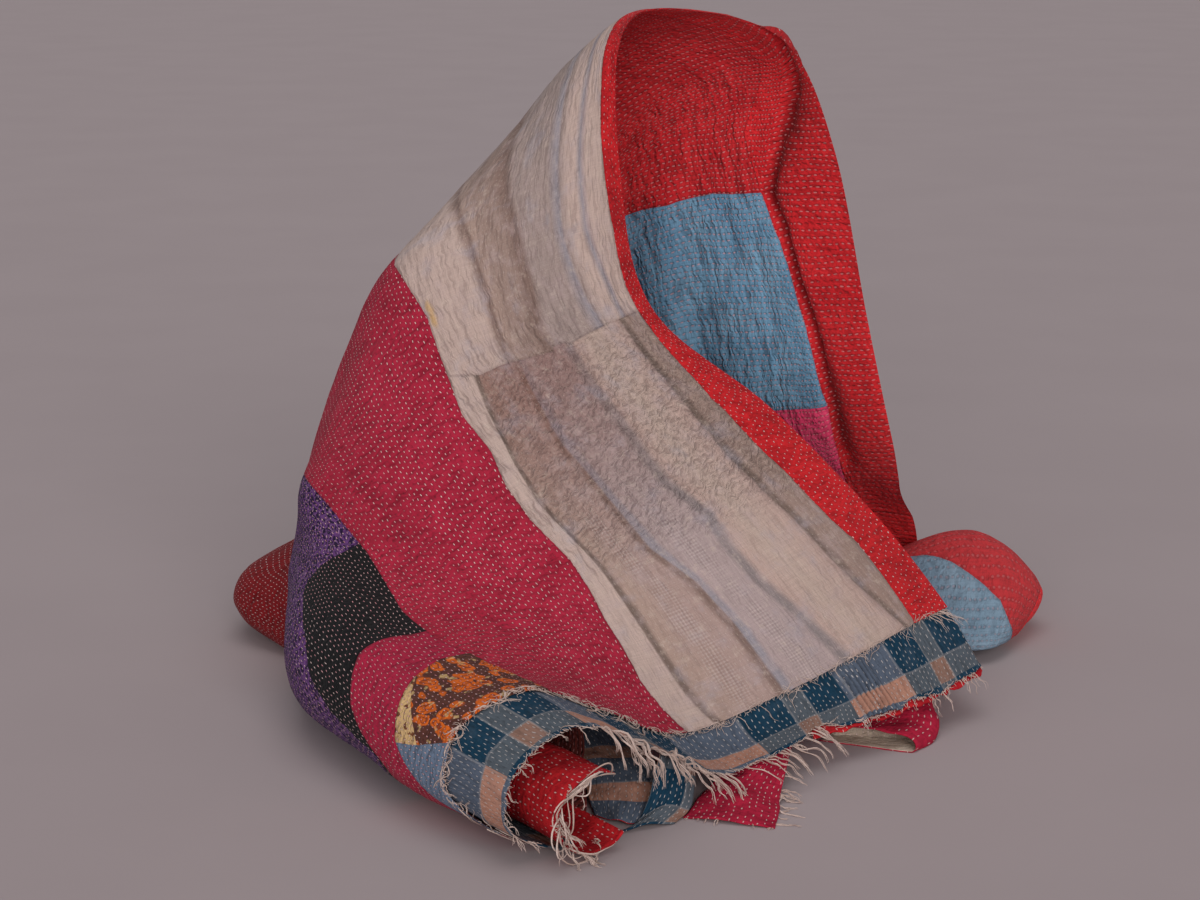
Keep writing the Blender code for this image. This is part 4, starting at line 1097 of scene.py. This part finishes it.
def plaid_group():
    """A woven check: navy where two bars cross, grey under one bar, tan or peach between the bars."""
    tree, n, inside, out = node_group(
        "woven_check", (("Across", "Float"), ("Along", "Float")), (("Color", "Color"), ("Bar", "Float")))
    across, along = inside["Across"], inside["Along"]

    turn = n.math("FRACT", n.math("DIVIDE", across, SETT_ACROSS))
    over = n.add(n.between(turn, 0.0, 0.22, 0.004), n.between(turn, 0.345, 0.59, 0.004))
    wide = n.smooth(turn, 0.588, 0.592)
    down = n.add(*(n.between(along, low, high, 0.0008) for low, high in SETT_ALONG))
    colour = n.blend(wide, CHECK_TAN, CHECK_PEACH)
    colour = n.blend(down, colour, n.blend(wide, CHECK_GREY, CHECK_BLUE))
    colour = n.blend(over, colour, n.blend(down, CHECK_GREY, NAVY))
    edges = [n.smooth(n.math("ABSOLUTE", n.less(turn, at)), 0.0075, 0.004) for at in SETT_LINES]
    edges += [n.smooth(n.math("ABSOLUTE", n.less(along, low + 0.001)), 0.0016, 0.0008)
              for low, _ in SETT_ALONG]
    line = n.math("MINIMUM", n.add(*edges), 1.0)
    colour = n.blend(n.times(line, 0.40), colour, CHECK_LINE)
    faded = n.noise(n.vector(across, along, 2.2), 36.0, 4.0, 0.65)
    colour = n.blend(n.times(n.smooth(faded, 0.45, 0.75), 0.16), colour, linear(108, 118, 128))
    n.feed(out["Color"], colour)
    n.feed(out["Bar"], over)
    return tree


woven_check = plaid_group()


def plaid_material():
    """The check cotton: its weave, white dashes of stitch, and wear."""
    material, shader, n = new_material("check_cotton", 0.9)
    across, along = n.cloth_metres()
    check = n.use(woven_check, across=across, along=along)
    weave = n.use(plain_weave, across=across, along=along, pitch=0.0011)
    stitch = n.use(running_stitch, across=across, along=along, row_pitch=0.0064, stitch_pitch=0.0082,
                   length=0.0034, width=0.0010, worn=0.10)
    ripple = n.use(wrinkle, across=across, along=along, width=0.0060, reach=0.026)
    # Painted shade: darker in the ripples' furrows, the stitch dips and the valleys of the gathers.
    shade = n.add(n.times(ripple["Furrow"], 0.32), n.times(stitch["Dip"], 0.15),
                  n.times(n.field("valley_shade"), 0.6))
    colour = n.blend(shade, check["Color"], n.blend(1.0, check["Color"], (0.3, 0.3, 0.3, 1.0), "MULTIPLY"))
    colour = n.blend(1.0, colour, n.add(0.66, n.times(weave["Tone"], 0.68)), "MULTIPLY")
    colour = n.blend(n.times(stitch["Thread"], 0.75), colour, linear(206, 198, 196))
    n.feed(shader.inputs["Base Color"], colour)
    height = n.add(n.times(ripple["Height"], 0.0010), n.times(stitch["Dip"], -0.0004),
                   n.times(stitch["Thread"], 0.0003), n.times(weave["Height"], 0.00004))
    bump = n.put("ShaderNodeBump", height=height, distance=1.0, strength=0.9)
    n.feed(shader.inputs["Normal"], bump.outputs["Normal"])
    return material


def thin_sheet(name, grid, across, along, thickness, material, valley_shade=None):
    """A cloth of this thickness about a grid, its map in flat metres, and where its gathers are deepest,
    which the material darkens as painted shade.
    """
    mesh = grid_mesh(name, grid)
    set_cloth_map(mesh, across, along)
    set_field(mesh, "valley_shade", np.zeros(grid.shape[:2]) if valley_shade is None else valley_shade)
    made = new_object(name, mesh, material)
    wall = made.modifiers.new("Thickness", "SOLIDIFY")
    wall.thickness = thickness
    wall.offset = 0.0
    return made


plaid_grid, plaid_normal, across, along = layer_grid(PLAID_ROWS, 44, (0.0, PLAID_LAST_LINE), 620,
                                                     BELOW_QUILT, torn_edge)
out_of_end = np.clip(-along / 0.012, 0, 1)
gather = window(across, *GATHER_ACROSS, 0.006) * out_of_end
across_bent = across + 0.0015 * drift(along / 0.02, across / 0.03, 34)
ridge = (1 + np.cos(2 * math.pi * across_bent / GATHER_PITCH)) / 2
lift = gather * GATHER_HEIGHT * ridge
lift += out_of_end * 0.0012 * drift(across / 0.018, along / 0.022, 33)
plaid_grid = plaid_grid + plaid_normal * lift[..., None]
plaid_grid[..., 2] = np.maximum(plaid_grid[..., 2], 0.0012)
check_cotton = plaid_material()
plaid_layer = thin_sheet("plaid_filling", plaid_grid, across, along, 0.0014, check_cotton,
                         gather * (1 - ridge) ** 2)
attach(plaid_layer, "root")
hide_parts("plaid_layer")


# ---------------------------------------------------------------------------------------------------
# The backing layer, the crimson fold and the two torn flaps: old cloths from inside the quilt that hang
# out under the frayed end at its right, and lie on the floor. They are single cloths, folded or torn.
# ---------------------------------------------------------------------------------------------------

BACKING_ROWS, BACKING_LAST_LINE = (0.0, 1.08), 3
SEAT_GAP = 0.0005

Mouth = namedtuple("Mouth", "low_start low_middle low_turn turn high_turn high_middle high_start")
CRIMSON_FOLD = (
    Mouth((0.208, 0.112, 0.000), (0.260, 0.092, 0.000), (0.302, 0.076, 0.000), (0.312, 0.080, 0.007),
          (0.300, 0.088, 0.016), (0.258, 0.098, 0.020), (0.210, 0.114, 0.020)),
    Mouth((0.222, 0.126, 0.000), (0.276, 0.118, 0.000), (0.328, 0.122, 0.000), (0.343, 0.130, 0.012),
          (0.326, 0.134, 0.023), (0.276, 0.128, 0.025), (0.226, 0.130, 0.024)),
)
FOLD_ROW, FOLD_LINES, FOLD_DEPTH = 0.80, (1.35, 1.80, 2.33), 0.012
Flap = namedtuple("Flap", "left centre right")
CRIMSON_FLAP = (
    Flap((0.050, -0.108, 0.000), (0.096, -0.124, 0.004), (0.142, -0.136, 0.000)),
    Flap((0.066, -0.072, 0.005), (0.108, -0.084, 0.013), (0.150, -0.092, 0.003)),
    Flap((0.078, -0.050, 0.010), (0.117, -0.056, 0.017), (0.153, -0.060, 0.007)),
)
FLAP_ROW, FLAP_LINES = 0.30, (3.15, 3.42, 3.70)
PLAID_FLAP = (
    Flap((-0.018, -0.150, 0.000), (0.012, -0.138, 0.006), (0.040, -0.124, 0.000)),
    Flap((0.008, -0.122, 0.010), (0.034, -0.108, 0.018), (0.058, -0.095, 0.008)),
)
TONGUE_ROW, TONGUE_LINES = 0.20, (4.25, 4.50, 4.75)


def station_below(row, over_lines, below):
    """Points this far below the quilt's middle surface at one row place, with x growing along them."""
    row_places, over = np.meshgrid([row - 0.02, row, row + 0.02], sorted(over_lines), indexing="ij")
    grid = cloth(row_places, over)
    return (grid - normals(grid) * below)[1, ::-1]


def loft(stations, steps):
    """A smooth surface through a few stations of points, at these steps in each interval."""
    net = np.array(stations, float)
    row_places, over = np.meshgrid(places([steps[0]] * (net.shape[0] - 1)),
                                   places([steps[1]] * (net.shape[1] - 1)), indexing="ij")
    return curved(net, row_places, over)


def flat_metres(grid):
    """(across, along) of a grid's points: mean running lengths over its columns and its rows."""
    down = np.linalg.norm(np.diff(grid, axis=0), axis=-1).mean(1)
    over = np.linalg.norm(np.diff(grid, axis=1), axis=-1).mean(0)
    along = np.concatenate([[0], np.cumsum(down)])[:, None]
    across = np.concatenate([[0], np.cumsum(over)])[None]
    return np.broadcast_to(across, grid.shape[:2]), np.broadcast_to(along, grid.shape[:2])


def rippled(grid, amount, pitch, seed, keep_last=True):
    """The grid with small uneven ripples, fading to nothing at its last row, clear of the floor."""
    across, along = flat_metres(grid)
    fade = np.clip((along.max() - along) / 0.02, 0, 1) if keep_last else 1.0
    wave = amount * fade * drift(across / pitch, along / pitch, seed)
    moved = grid + normals(grid) * wave[..., None]
    moved[..., 2] = np.maximum(moved[..., 2], LAYER_THICKNESS / 2 + 0.0002)
    return moved


def moved_in(stations):
    """Stations given in table places, moved onto the origin."""
    return [np.array(station, float) - (*CENTRE, 0.0) for station in stations]


def dyed_cotton(name, deep, fresh):
    """A plain dyed cotton with running stitch."""
    material, shader, n = new_material(name, 0.9)
    across, along = n.cloth_metres()
    weave = n.use(plain_weave, across=across, along=along, pitch=0.0010)
    worn = n.noise(n.vector(across, along, 1.7), 40.0, 4.0, 0.6)
    colour = n.blend(n.smooth(worn, 0.3, 0.7), deep, fresh)
    stitch = n.use(running_stitch, across=across, along=along, row_pitch=0.0064, stitch_pitch=0.0080,
                   length=0.0030, width=0.0012, worn=0.30)
    ripple = n.use(wrinkle, across=along, along=across, width=0.0060, reach=0.020)
    # Painted shade: darker in the ripples' furrows and the stitch dips.
    shade = n.add(n.times(ripple["Furrow"], 0.25), n.times(stitch["Dip"], 0.15))
    colour = n.blend(shade, colour, n.blend(1.0, colour, (0.3, 0.25, 0.26, 1.0), "MULTIPLY"))
    colour = n.blend(1.0, colour, n.add(0.66, n.times(weave["Tone"], 0.68)), "MULTIPLY")
    colour = n.blend(n.times(stitch["Thread"], 0.62), colour, STITCH_WHITE)
    n.feed(shader.inputs["Base Color"], colour)
    height = n.add(n.times(ripple["Height"], 0.0007), n.times(stitch["Dip"], -0.0004),
                   n.times(stitch["Thread"], 0.0003), n.times(weave["Height"], 0.00004))
    bump = n.put("ShaderNodeBump", height=height, distance=1.0, strength=0.9)
    n.feed(shader.inputs["Normal"], bump.outputs["Normal"])
    return material


backing_red = dyed_cotton("backing_red", linear(166, 20, 32), linear(200, 34, 40))
torn_crimson = dyed_cotton("torn_crimson", linear(150, 20, 48), linear(184, 32, 62))
fold_inside = dyed_cotton("fold_inside", linear(176, 154, 138), linear(206, 188, 170))

backing_grid, _, across, along = layer_grid(BACKING_ROWS, 30, (0.0, BACKING_LAST_LINE), 110, BELOW_PLAID,
                                            lambda over: 0.03 * drift(over * 9.0, over * 0, 41))
backing_layer = thin_sheet("backing_cloth", backing_grid, across, along, 0.0013, backing_red)
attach(backing_layer, "root")
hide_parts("backing_layer")


def fold_stations(below):
    """The crimson fold's stations: its mouth on the floor, then its back, this far below the quilt."""
    upper = station_below(FOLD_ROW, FOLD_LINES, below)
    lower = upper - [0.0, 0.0, FOLD_DEPTH]
    turn = (upper[-1:] + lower[-1:]) / 2 + [0.008, 0.0, 0.0]
    return moved_in(CRIMSON_FOLD) + [np.concatenate([lower, turn, upper[::-1]])]


fold_sections = fold_stations(BELOW_PLAID + LAYER_THICKNESS + SEAT_GAP)
fold_grid = rippled(loft(fold_sections, (12, 9)), 0.0016, 0.016, 51)
across, along = flat_metres(fold_grid)
crimson_fold = thin_sheet("crimson_fold_cloth", fold_grid, across, along, 0.0014, torn_crimson)
crimson_fold.data.materials.append(fold_inside)
crimson_fold.modifiers["Thickness"].material_offset = 1
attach(crimson_fold, "root")
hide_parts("crimson_fold")

SEAT_BELOW = BELOW_QUILT + PLAID_THICKNESS / 2 + SEAT_GAP + LAYER_THICKNESS / 2
flap_stations = moved_in(CRIMSON_FLAP) + [station_below(FLAP_ROW, FLAP_LINES, SEAT_BELOW)]
flap_grid = rippled(loft(flap_stations, (12, 20)), 0.0014, 0.014, 52)
across, along = flat_metres(flap_grid)
crimson_flap = thin_sheet("crimson_flap_cloth", flap_grid, across, along, 0.0013, torn_crimson)
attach(crimson_flap, "root")
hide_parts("crimson_flap")

tongue_stations = moved_in(PLAID_FLAP) + [station_below(TONGUE_ROW, TONGUE_LINES, SEAT_BELOW)]
tongue_grid = rippled(loft(tongue_stations, (14, 16)), 0.0014, 0.014, 53)
across, along = flat_metres(tongue_grid)
plaid_flap = thin_sheet("check_flap_cloth", tongue_grid, across, along, 0.0013, check_cotton)
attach(plaid_flap, "root")
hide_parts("plaid_flap")


# ---------------------------------------------------------------------------------------------------
# The red curl: the core of the roll, a red cloth turned on itself that stands a little out of the
# roll's end and rests inside its lowest turn.
# ---------------------------------------------------------------------------------------------------

CURL_HALF_WIDTH, CURL_HALF_HEIGHT = 0.044, 0.040
CURL_SHIFT, CURL_RISE = 0.008, 0.0003
CURL_FROM_DEG, CURL_TO_DEG = 62.0, 318.0
CURL_ROWS = (-0.22, 0.90)


def curl_surface(down, over):
    """The curl's middle surface: an open oval tube along the roll, resting inside its lowest turn."""
    row_places = np.linspace(*CURL_ROWS, down)
    lowest = QUILT_THICKNESS + LAYER_GAP + PLAID_THICKNESS + CURL_RISE + LAYER_THICKNESS / 2
    patch = np.array([section.patch for section in SECTIONS[:2]])
    lean = np.array([roll.lean for roll in ROLLS[:2]])
    middle = patch[:1] + (patch[1:] - patch[:1]) * row_places[:, None]
    middle[:, :2] -= np.array(ROLL_ACROSS) * (lean[0] + (lean[1] - lean[0]) * row_places[:, None])
    angle = np.radians(np.linspace(CURL_FROM_DEG, CURL_TO_DEG, over))
    out = CURL_SHIFT + CURL_HALF_WIDTH * np.cos(angle)
    grid = np.zeros((down, over, 3))
    grid[..., 0] = middle[:, None, 0] + ROLL_ACROSS[0] * out
    grid[..., 1] = middle[:, None, 1] + ROLL_ACROSS[1] * out
    grid[..., 2] = lowest + CURL_HALF_HEIGHT * (1 + np.sin(angle))
    return grid - (*CENTRE, 0.0)


curl_grid = curl_surface(36, 72)
across, along = flat_metres(curl_grid)
squeeze = 0.0012 * drift(across / 0.016, along / 0.020, 61)
curl_grid = curl_grid - normals(curl_grid) * (squeeze - 0.0012)[..., None]
red_curl = thin_sheet("red_curl_cloth", curl_grid, across, along, 0.0013, backing_red)
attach(red_curl, "root")
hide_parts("red_curl")


# ---------------------------------------------------------------------------------------------------
# The filling of the roll: a scrap of the same check cotton, red at its torn edge, that lies between the
# curl and the roll's right wall. It comes forward along the floor from deep inside the roll.
# ---------------------------------------------------------------------------------------------------

ROLL_FILLING = (
    ((-0.040, -0.104, 0.0010), (-0.020, -0.124, 0.0045), (-0.002, -0.128, 0.0035), (0.014, -0.112, 0.0015)),
    ((-0.048, -0.066, 0.0110), (-0.020, -0.080, 0.0200), (0.008, -0.080, 0.0190), (0.028, -0.072, 0.0150)),
    ((-0.054, -0.032, 0.0260), (-0.024, -0.038, 0.0320), (0.004, -0.038, 0.0310), (0.026, -0.032, 0.0280)),
    ((-0.070, 0.010, 0.0360), (-0.042, 0.012, 0.0380), (-0.014, 0.016, 0.0360), (0.008, 0.020, 0.0320)),
    ((-0.085, 0.056, 0.0660), (-0.060, 0.060, 0.0680), (-0.034, 0.064, 0.0640), (-0.012, 0.068, 0.0560)),
)
FILLING_PLACE = (0.14, -0.10)        # (across, along) in the check's metres, where the scrap was cut

filling_grid = rippled(loft(moved_in(ROLL_FILLING), (9, 12)), 0.0022, 0.018, 54, keep_last=False)
across, along = flat_metres(filling_grid)
roll_filling = thin_sheet("roll_filling_cloth", filling_grid, across + FILLING_PLACE[0],
                          along + FILLING_PLACE[1], 0.0014, check_cotton)
roll_filling.data.materials.append(backing_red)
roll_filling.modifiers["Thickness"].material_offset_rim = 1
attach(roll_filling, "root")


# ---------------------------------------------------------------------------------------------------
# Loose threads: warp and weft ends of the torn cloths, cream and limp. Some still lie along the edge
# that they came from, some stick out of it, and the long ones have bent down under their own weight.
# ---------------------------------------------------------------------------------------------------

THREAD_RADIUS, THREAD_SIDES = 0.00040, 4
THREAD_DULL, THREAD_FRESH = linear(192, 166, 154), linear(226, 204, 194)


def raw_edge(across):
    """Metres along the flat cloth of the quilt's raw edge, at these places across it."""
    lines = np.interp(across, ACROSS_AT_LINES, np.arange(LAST_LINE + 1))
    return np.interp(1 - lip(lines), np.arange(LAST_ROW + 1), ALONG_AT_ROWS)


def plaid_edge(across):
    """Metres along the flat cloth of the check cotton's torn edge, at these places across it."""
    lines = np.interp(across, ACROSS_AT_LINES, np.arange(LAST_LINE + 1))
    return np.interp(PLAID_ROWS[0] + torn_edge(lines), np.arange(LAST_ROW + 1), ALONG_AT_ROWS)


def off_the_cloth(across, along, height):
    """Points this far above the quilt's middle surface at flat places, straight on past its first row."""
    rows = np.interp(along, ALONG_AT_ROWS, np.arange(LAST_ROW + 1))
    rows = rows + np.minimum(along - ALONG_AT_ROWS[0], 0) / (ALONG_AT_ROWS[1] - ALONG_AT_ROWS[0])
    lines = np.interp(across, ACROSS_AT_LINES, np.arange(LAST_LINE + 1))
    place = cloth(rows, lines)
    normal = np.cross(cloth(rows + 0.02, lines) - place, cloth(rows, lines + 0.02) - place)
    normal /= np.linalg.norm(normal, axis=-1, keepdims=True) + 1e-12
    return place + normal * (folds(along, across) + height)[..., None]


def lying(across, edge, spread_deg, turned_deg, span, top, bottom, points, seed):
    """Threads lying on the cloth. Each starts at its edge, heads out within the spread, and bends.

    Heading 0 is straight out of the cloth. Heights ease from top to bottom over the first 6 mm, and a
    thread that strays back over the quilt lies on top of it.
    """
    chance = np.random.default_rng(seed)
    count, t = len(across), np.linspace(0, 1, points)
    length = chance.uniform(*span, count)[:, None]
    heading = turned_deg + spread_deg * chance.uniform(-1, 1, count)
    bend = chance.normal(0, 55, count)
    wave = 25 * np.sin(chance.uniform(0, 6, count)[:, None] + t * chance.uniform(3, 9, count)[:, None])
    turn = np.radians(heading[:, None] + bend[:, None] * t + wave)
    step = length / (points - 1)
    start = chance.uniform(-0.0012, 0.0006, count)[:, None]
    over = across[:, None] + np.cumsum(np.sin(turn), 1) * step
    down = edge(across)[:, None] - start - np.cumsum(np.cos(turn), 1) * step
    height = top + (bottom - top) * np.clip(t * length / 0.006, 0, 1)
    height = height + chance.uniform(0, 0.0007, (count, 1))
    back = np.clip((down - raw_edge(over)) / 0.002 + 0.5, 0, 1)
    return off_the_cloth(over, down, height * (1 - back) + (QUILT_THICKNESS / 2 + 0.0007) * back)


def hanging(roots, headings, span, limp, points, seed):
    """Threads that leave their edge freely. Each turns down as it goes, and runs on along the floor."""
    chance = np.random.default_rng(seed)
    count, t = len(roots), np.linspace(0, 1, points)[None, :, None]
    sway = chance.normal(0, 0.35, (count, 1, 3)) * np.sin(t * chance.uniform(2, 6, (count, 1, 1)) * math.pi
                                                         + chance.uniform(0, 6, (count, 1, 3)))
    way = headings[:, None] * (1 - limp * t) + np.array((0.0, 0.0, -1.0)) * limp * t * 1.3 + sway
    way /= np.linalg.norm(way, axis=-1, keepdims=True)
    step = chance.uniform(*span, (count, 1, 1)) / (points - 1)
    path = roots[:, None] + np.cumsum(way, 1) * step - way[:, :1] * step
    path[..., 2] = np.maximum(path[..., 2], THREAD_RADIUS + chance.uniform(0, 0.001, (count, 1)))
    return path


def edge_places(edge, inner, shares, spread, seed):
    """Roots at these shares of an edge, and a heading for each: out of the cloth, turned a little."""
    chance = np.random.default_rng(seed)
    at = np.asarray(shares) * (len(edge) - 1)
    roots = np.stack([np.interp(at, np.arange(len(edge)), edge[:, k]) for k in range(3)], -1)
    out = edge - inner
    out = np.stack([np.interp(at, np.arange(len(edge)), out[:, k]) for k in range(3)], -1)
    out = out / (np.linalg.norm(out, axis=-1, keepdims=True) + 1e-12)
    out = out + chance.normal(0, spread, out.shape)
    return roots, out / np.linalg.norm(out, axis=-1, keepdims=True)


def ringed(count, turns, bulge, seed):
    """Loops of thread round the curl's mouth: along its rim, bulging in, out and forward again."""
    chance = np.random.default_rng(seed)
    rim, behind = curl_grid[0], curl_grid[3]
    t = np.linspace(0, 1, 12)[None]
    start = chance.uniform(0.10, 0.86, count)[:, None]
    share = np.clip(start + (t - 0.5) * chance.uniform(*turns, count)[:, None], 0, 1)
    at = share * (len(rim) - 1)
    place = np.stack([np.interp(at, np.arange(len(rim)), rim[:, k]) for k in range(3)], -1)
    forward = np.stack([np.interp(at, np.arange(len(rim)), (rim - behind)[:, k]) for k in range(3)], -1)
    forward /= np.linalg.norm(forward, axis=-1, keepdims=True)
    middle = rim.mean(0)
    outward = place - middle
    outward /= np.linalg.norm(outward, axis=-1, keepdims=True)
    arch = np.sin(math.pi * t)[..., None]
    push = chance.uniform(-0.4, 1.0, (count, 1, 1)) * bulge
    reach = chance.uniform(0.1, 1.0, (count, 1, 1)) * bulge
    path = place + outward * push * arch + forward * (0.001 + reach * arch)
    path[..., 2] = np.maximum(path[..., 2], 0.0012)
    return path


def locks(paths, strands, spread, seed):
    """Each path as a loose lock of a few strands, which wander about it and part towards the tip."""
    chance = np.random.default_rng(seed)
    count, points = paths.shape[:2]
    t = np.linspace(0, 1, points)[:, None]
    phase = chance.uniform(0, 6, (count, strands, 1, 3))
    pace = chance.uniform(2, 8, (count, strands, 1, 3))
    wander = spread * (0.3 + 0.7 * t) * np.sin(phase + pace * t)
    strand = (paths[:, None] + wander).reshape(-1, points, 3)
    strand[..., 2] = np.maximum(strand[..., 2], 1.6 * THREAD_RADIUS)
    return strand


def thread_mesh(name, bundles):
    """One mesh of tubes. Each path is carried round as a four-sided ring that narrows to the tip."""
    points, faces, shades, start = [], [], [], 0
    turn = 2 * math.pi * np.arange(THREAD_SIDES) / THREAD_SIDES
    for paths, thick in bundles:
        count, along_path = paths.shape[:2]
        way = np.gradient(paths, axis=1)
        way /= np.linalg.norm(way, axis=-1, keepdims=True) + 1e-12
        side = np.cross(way, (0.31, 0.27, 0.91))
        side /= np.linalg.norm(side, axis=-1, keepdims=True) + 1e-12
        up = np.cross(way, side)
        share = np.linspace(0, 1, along_path)
        radius = (THREAD_RADIUS * thick * (1 - 0.7 * share**3))[None, :, None, None]
        ring = np.cos(turn)[:, None] * side[:, :, None] + np.sin(turn)[:, None] * up[:, :, None]
        tube = paths[:, :, None] + radius * ring
        index = start + np.arange(tube[..., 0].size).reshape(count, along_path, THREAD_SIDES)
        after = np.roll(index, -1, 2)
        walls = np.stack([index[:, :-1], after[:, :-1], after[:, 1:], index[:, 1:]], -1).reshape(-1, 4)
        faces += [walls, index[:, 0, ::-1], index[:, -1]]
        points.append(tube.reshape(-1, 3))
        luck = np.random.default_rng(start).uniform(0, 1, count)
        shades.append(np.repeat(luck, along_path * THREAD_SIDES))
        start += tube[..., 0].size
    mesh = bpy.data.meshes.new(name)
    mesh.from_pydata(np.concatenate(points), [], np.concatenate(faces))
    mesh.shade_smooth()
    set_field(mesh, "strand", np.concatenate(shades))
    return mesh


def thread_material():
    """Cream cotton thread: each strand its own shade, with its twist as fine slanting ribs."""
    material, shader, n = new_material("frayed_thread", 0.85)
    place = n.put("ShaderNodeTexCoord").outputs["Object"]
    colour = n.blend(n.field("strand"), THREAD_DULL, THREAD_FRESH)
    colour = n.blend(n.times(n.smooth(n.noise(place, 900.0, 1.0), 0.45, 0.7), 0.3), colour, UMBER)
    n.feed(shader.inputs["Base Color"], colour)
    twist = n.put("ShaderNodeTexWave", {"wave_type": "BANDS", "bands_direction": "DIAGONAL"}, vector=place,
                  scale=900.0)
    bump = n.put("ShaderNodeBump", height=n.times(twist.outputs["Fac"], 0.00008), distance=1.0,
                 strength=0.6)
    n.feed(shader.inputs["Normal"], bump.outputs["Normal"])
    return material


def new_threads(name, node, bundles):
    """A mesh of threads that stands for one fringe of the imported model."""
    made = new_object(name, thread_mesh(name, bundles), loose_thread)
    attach(made, "root")
    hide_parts(node)
    return made


loose_thread = thread_material()
chance = np.random.default_rng(71)
ON_PLAID = -(BELOW_QUILT - PLAID_THICKNESS / 2 - THREAD_RADIUS)
hem_fuzz = lying(chance.uniform(0, 0.95, 220), raw_edge, 60, 0, (0.0012, 0.0038), 0.0, ON_PLAID, 5, 72)
hem_right = lying(chance.uniform(0, 0.9, 120), raw_edge, 10, 88, (0.008, 0.022), 0.0, -0.0006, 8, 73)
hem_left = lying(chance.uniform(0.05, 0.95, 120), raw_edge, 10, -88, (0.008, 0.022), 0.0, -0.0006, 8, 74)
hem_long = lying(chance.uniform(0.04, 0.46, 10), raw_edge, 80, 0, (0.012, 0.028), 0.0, ON_PLAID, 12, 75)
roll_long = lying(chance.uniform(0.46, 0.88, 16), raw_edge, 14, 78, (0.020, 0.050), 0.0008, ON_PLAID,
                  14, 76)
roll_back = lying(chance.uniform(0.52, 0.92, 10), raw_edge, 14, -78, (0.018, 0.040), 0.0008, ON_PLAID,
                  14, 77)
corner, corner_out = edge_places(top_grid[0, :12], top_grid[4, :12], chance.uniform(0, 1, 7), 0.35, 78)
corner_out = corner_out * 0.4 + np.array((0.9, -0.1, 0.05))
corner_ends = hanging(corner, corner_out, (0.018, 0.042), 0.45, 12, 79)
new_threads("hem_threads", "fringe_hem",
            [(hem_fuzz, 0.8), (hem_right, 0.9), (hem_left, 0.9), (hem_long, 0.9),
             (locks(roll_long, 3, 0.0010, 110), 1.0), (locks(roll_back, 3, 0.0010, 111), 1.0),
             (locks(corner_ends, 2, 0.0015, 112), 0.9)])

UNDER_PLAID = -(BELOW_QUILT + 0.0004)
plaid_fuzz = lying(chance.uniform(0, 0.90, 240), plaid_edge, 50, 0, (0.002, 0.005), -BELOW_QUILT,
                   UNDER_PLAID, 6, 81)
plaid_right = lying(chance.uniform(0, 0.88, 90), plaid_edge, 10, 86, (0.008, 0.022), -BELOW_QUILT,
                    -BELOW_QUILT, 8, 82)
plaid_left = lying(chance.uniform(0.05, 0.90, 80), plaid_edge, 10, -86, (0.008, 0.022), -BELOW_QUILT,
                   -BELOW_QUILT, 8, 83)
edge, inner = plaid_grid[0], plaid_grid[4]


def plaid_strands(low_line, high_line, count, strands, span, limp, spread, pull, seed):
    """Locks hanging from the check cotton's torn edge between two lines, pulled one way."""
    shares = np.random.default_rng(seed).uniform(low_line, high_line, count) / PLAID_LAST_LINE
    roots, headings = edge_places(edge, inner, shares, spread, seed + 1)
    headings = headings + np.array(pull)
    headings /= np.linalg.norm(headings, axis=-1, keepdims=True)
    return locks(hanging(roots, headings, span, limp, 13, seed + 2), strands, 0.0013, seed + 3)


new_threads("plaid_threads", "fringe_plaid",
            [(plaid_fuzz, 0.8), (plaid_right, 0.9), (plaid_left, 0.9),
             (plaid_strands(0.0, 1.6, 13, 2, (0.010, 0.034), 0.55, 0.35, (0.5, 0.0, 0.1), 84), 0.9),
             (plaid_strands(1.6, 2.8, 6, 2, (0.008, 0.016), 0.7, 0.30, (0.1, 0.0, 0.0), 88), 0.9),
             (plaid_strands(2.9, 3.9, 17, 4, (0.020, 0.060), 0.45, 0.25, (1.0, 0.15, 0.15), 92), 1.1),
             (plaid_strands(3.9, 4.8, 15, 4, (0.024, 0.066), 0.60, 0.25, (0.9, 0.0, 0.1), 96), 1.2),
             (plaid_strands(4.7, 5.8, 16, 5, (0.040, 0.085), 0.85, 0.22, (0.8, -0.15, 0.2), 100), 1.4),
             (plaid_strands(5.7, 8.9, 14, 2, (0.008, 0.024), 0.5, 0.35, (0.3, -0.2, 0.0), 104), 1.0)])

rim, behind = curl_grid[0], curl_grid[3]
roots, headings = edge_places(rim, behind, chance.uniform(0.05, 0.95, 18), 0.50, 113)
new_threads("curl_threads", "fringe_curl",
            [(ringed(13, (0.12, 0.34), 0.018, 114), 2.4),
             (locks(ringed(13, (0.08, 0.26), 0.012, 115), 3, 0.0010, 116), 1.2),
             (locks(hanging(roots, headings, (0.010, 0.034), 0.5, 9, 117), 3, 0.0012, 118), 1.1)])

flap_side, flap_inner = flap_grid[:, -1], flap_grid[:, -5]
roots, headings = edge_places(flap_side, flap_inner, chance.uniform(0, 0.85, 15), 0.40, 119)
front, front_in = flap_grid[0], flap_grid[3]
front_roots, front_headings = edge_places(front, front_in, chance.uniform(0, 1, 10), 0.40, 121)
flap_locks = hanging(roots, headings + np.array((0.4, 0.0, 0.0)), (0.014, 0.044), 0.5, 11, 120)
front_ends = hanging(front_roots, front_headings, (0.004, 0.012), 0.5, 6, 122)
new_threads("flap_threads", "fringe_flap",
            [(locks(flap_locks, 3, 0.0012, 123), 1.1), (locks(front_ends, 2, 0.0008, 124), 0.9)])
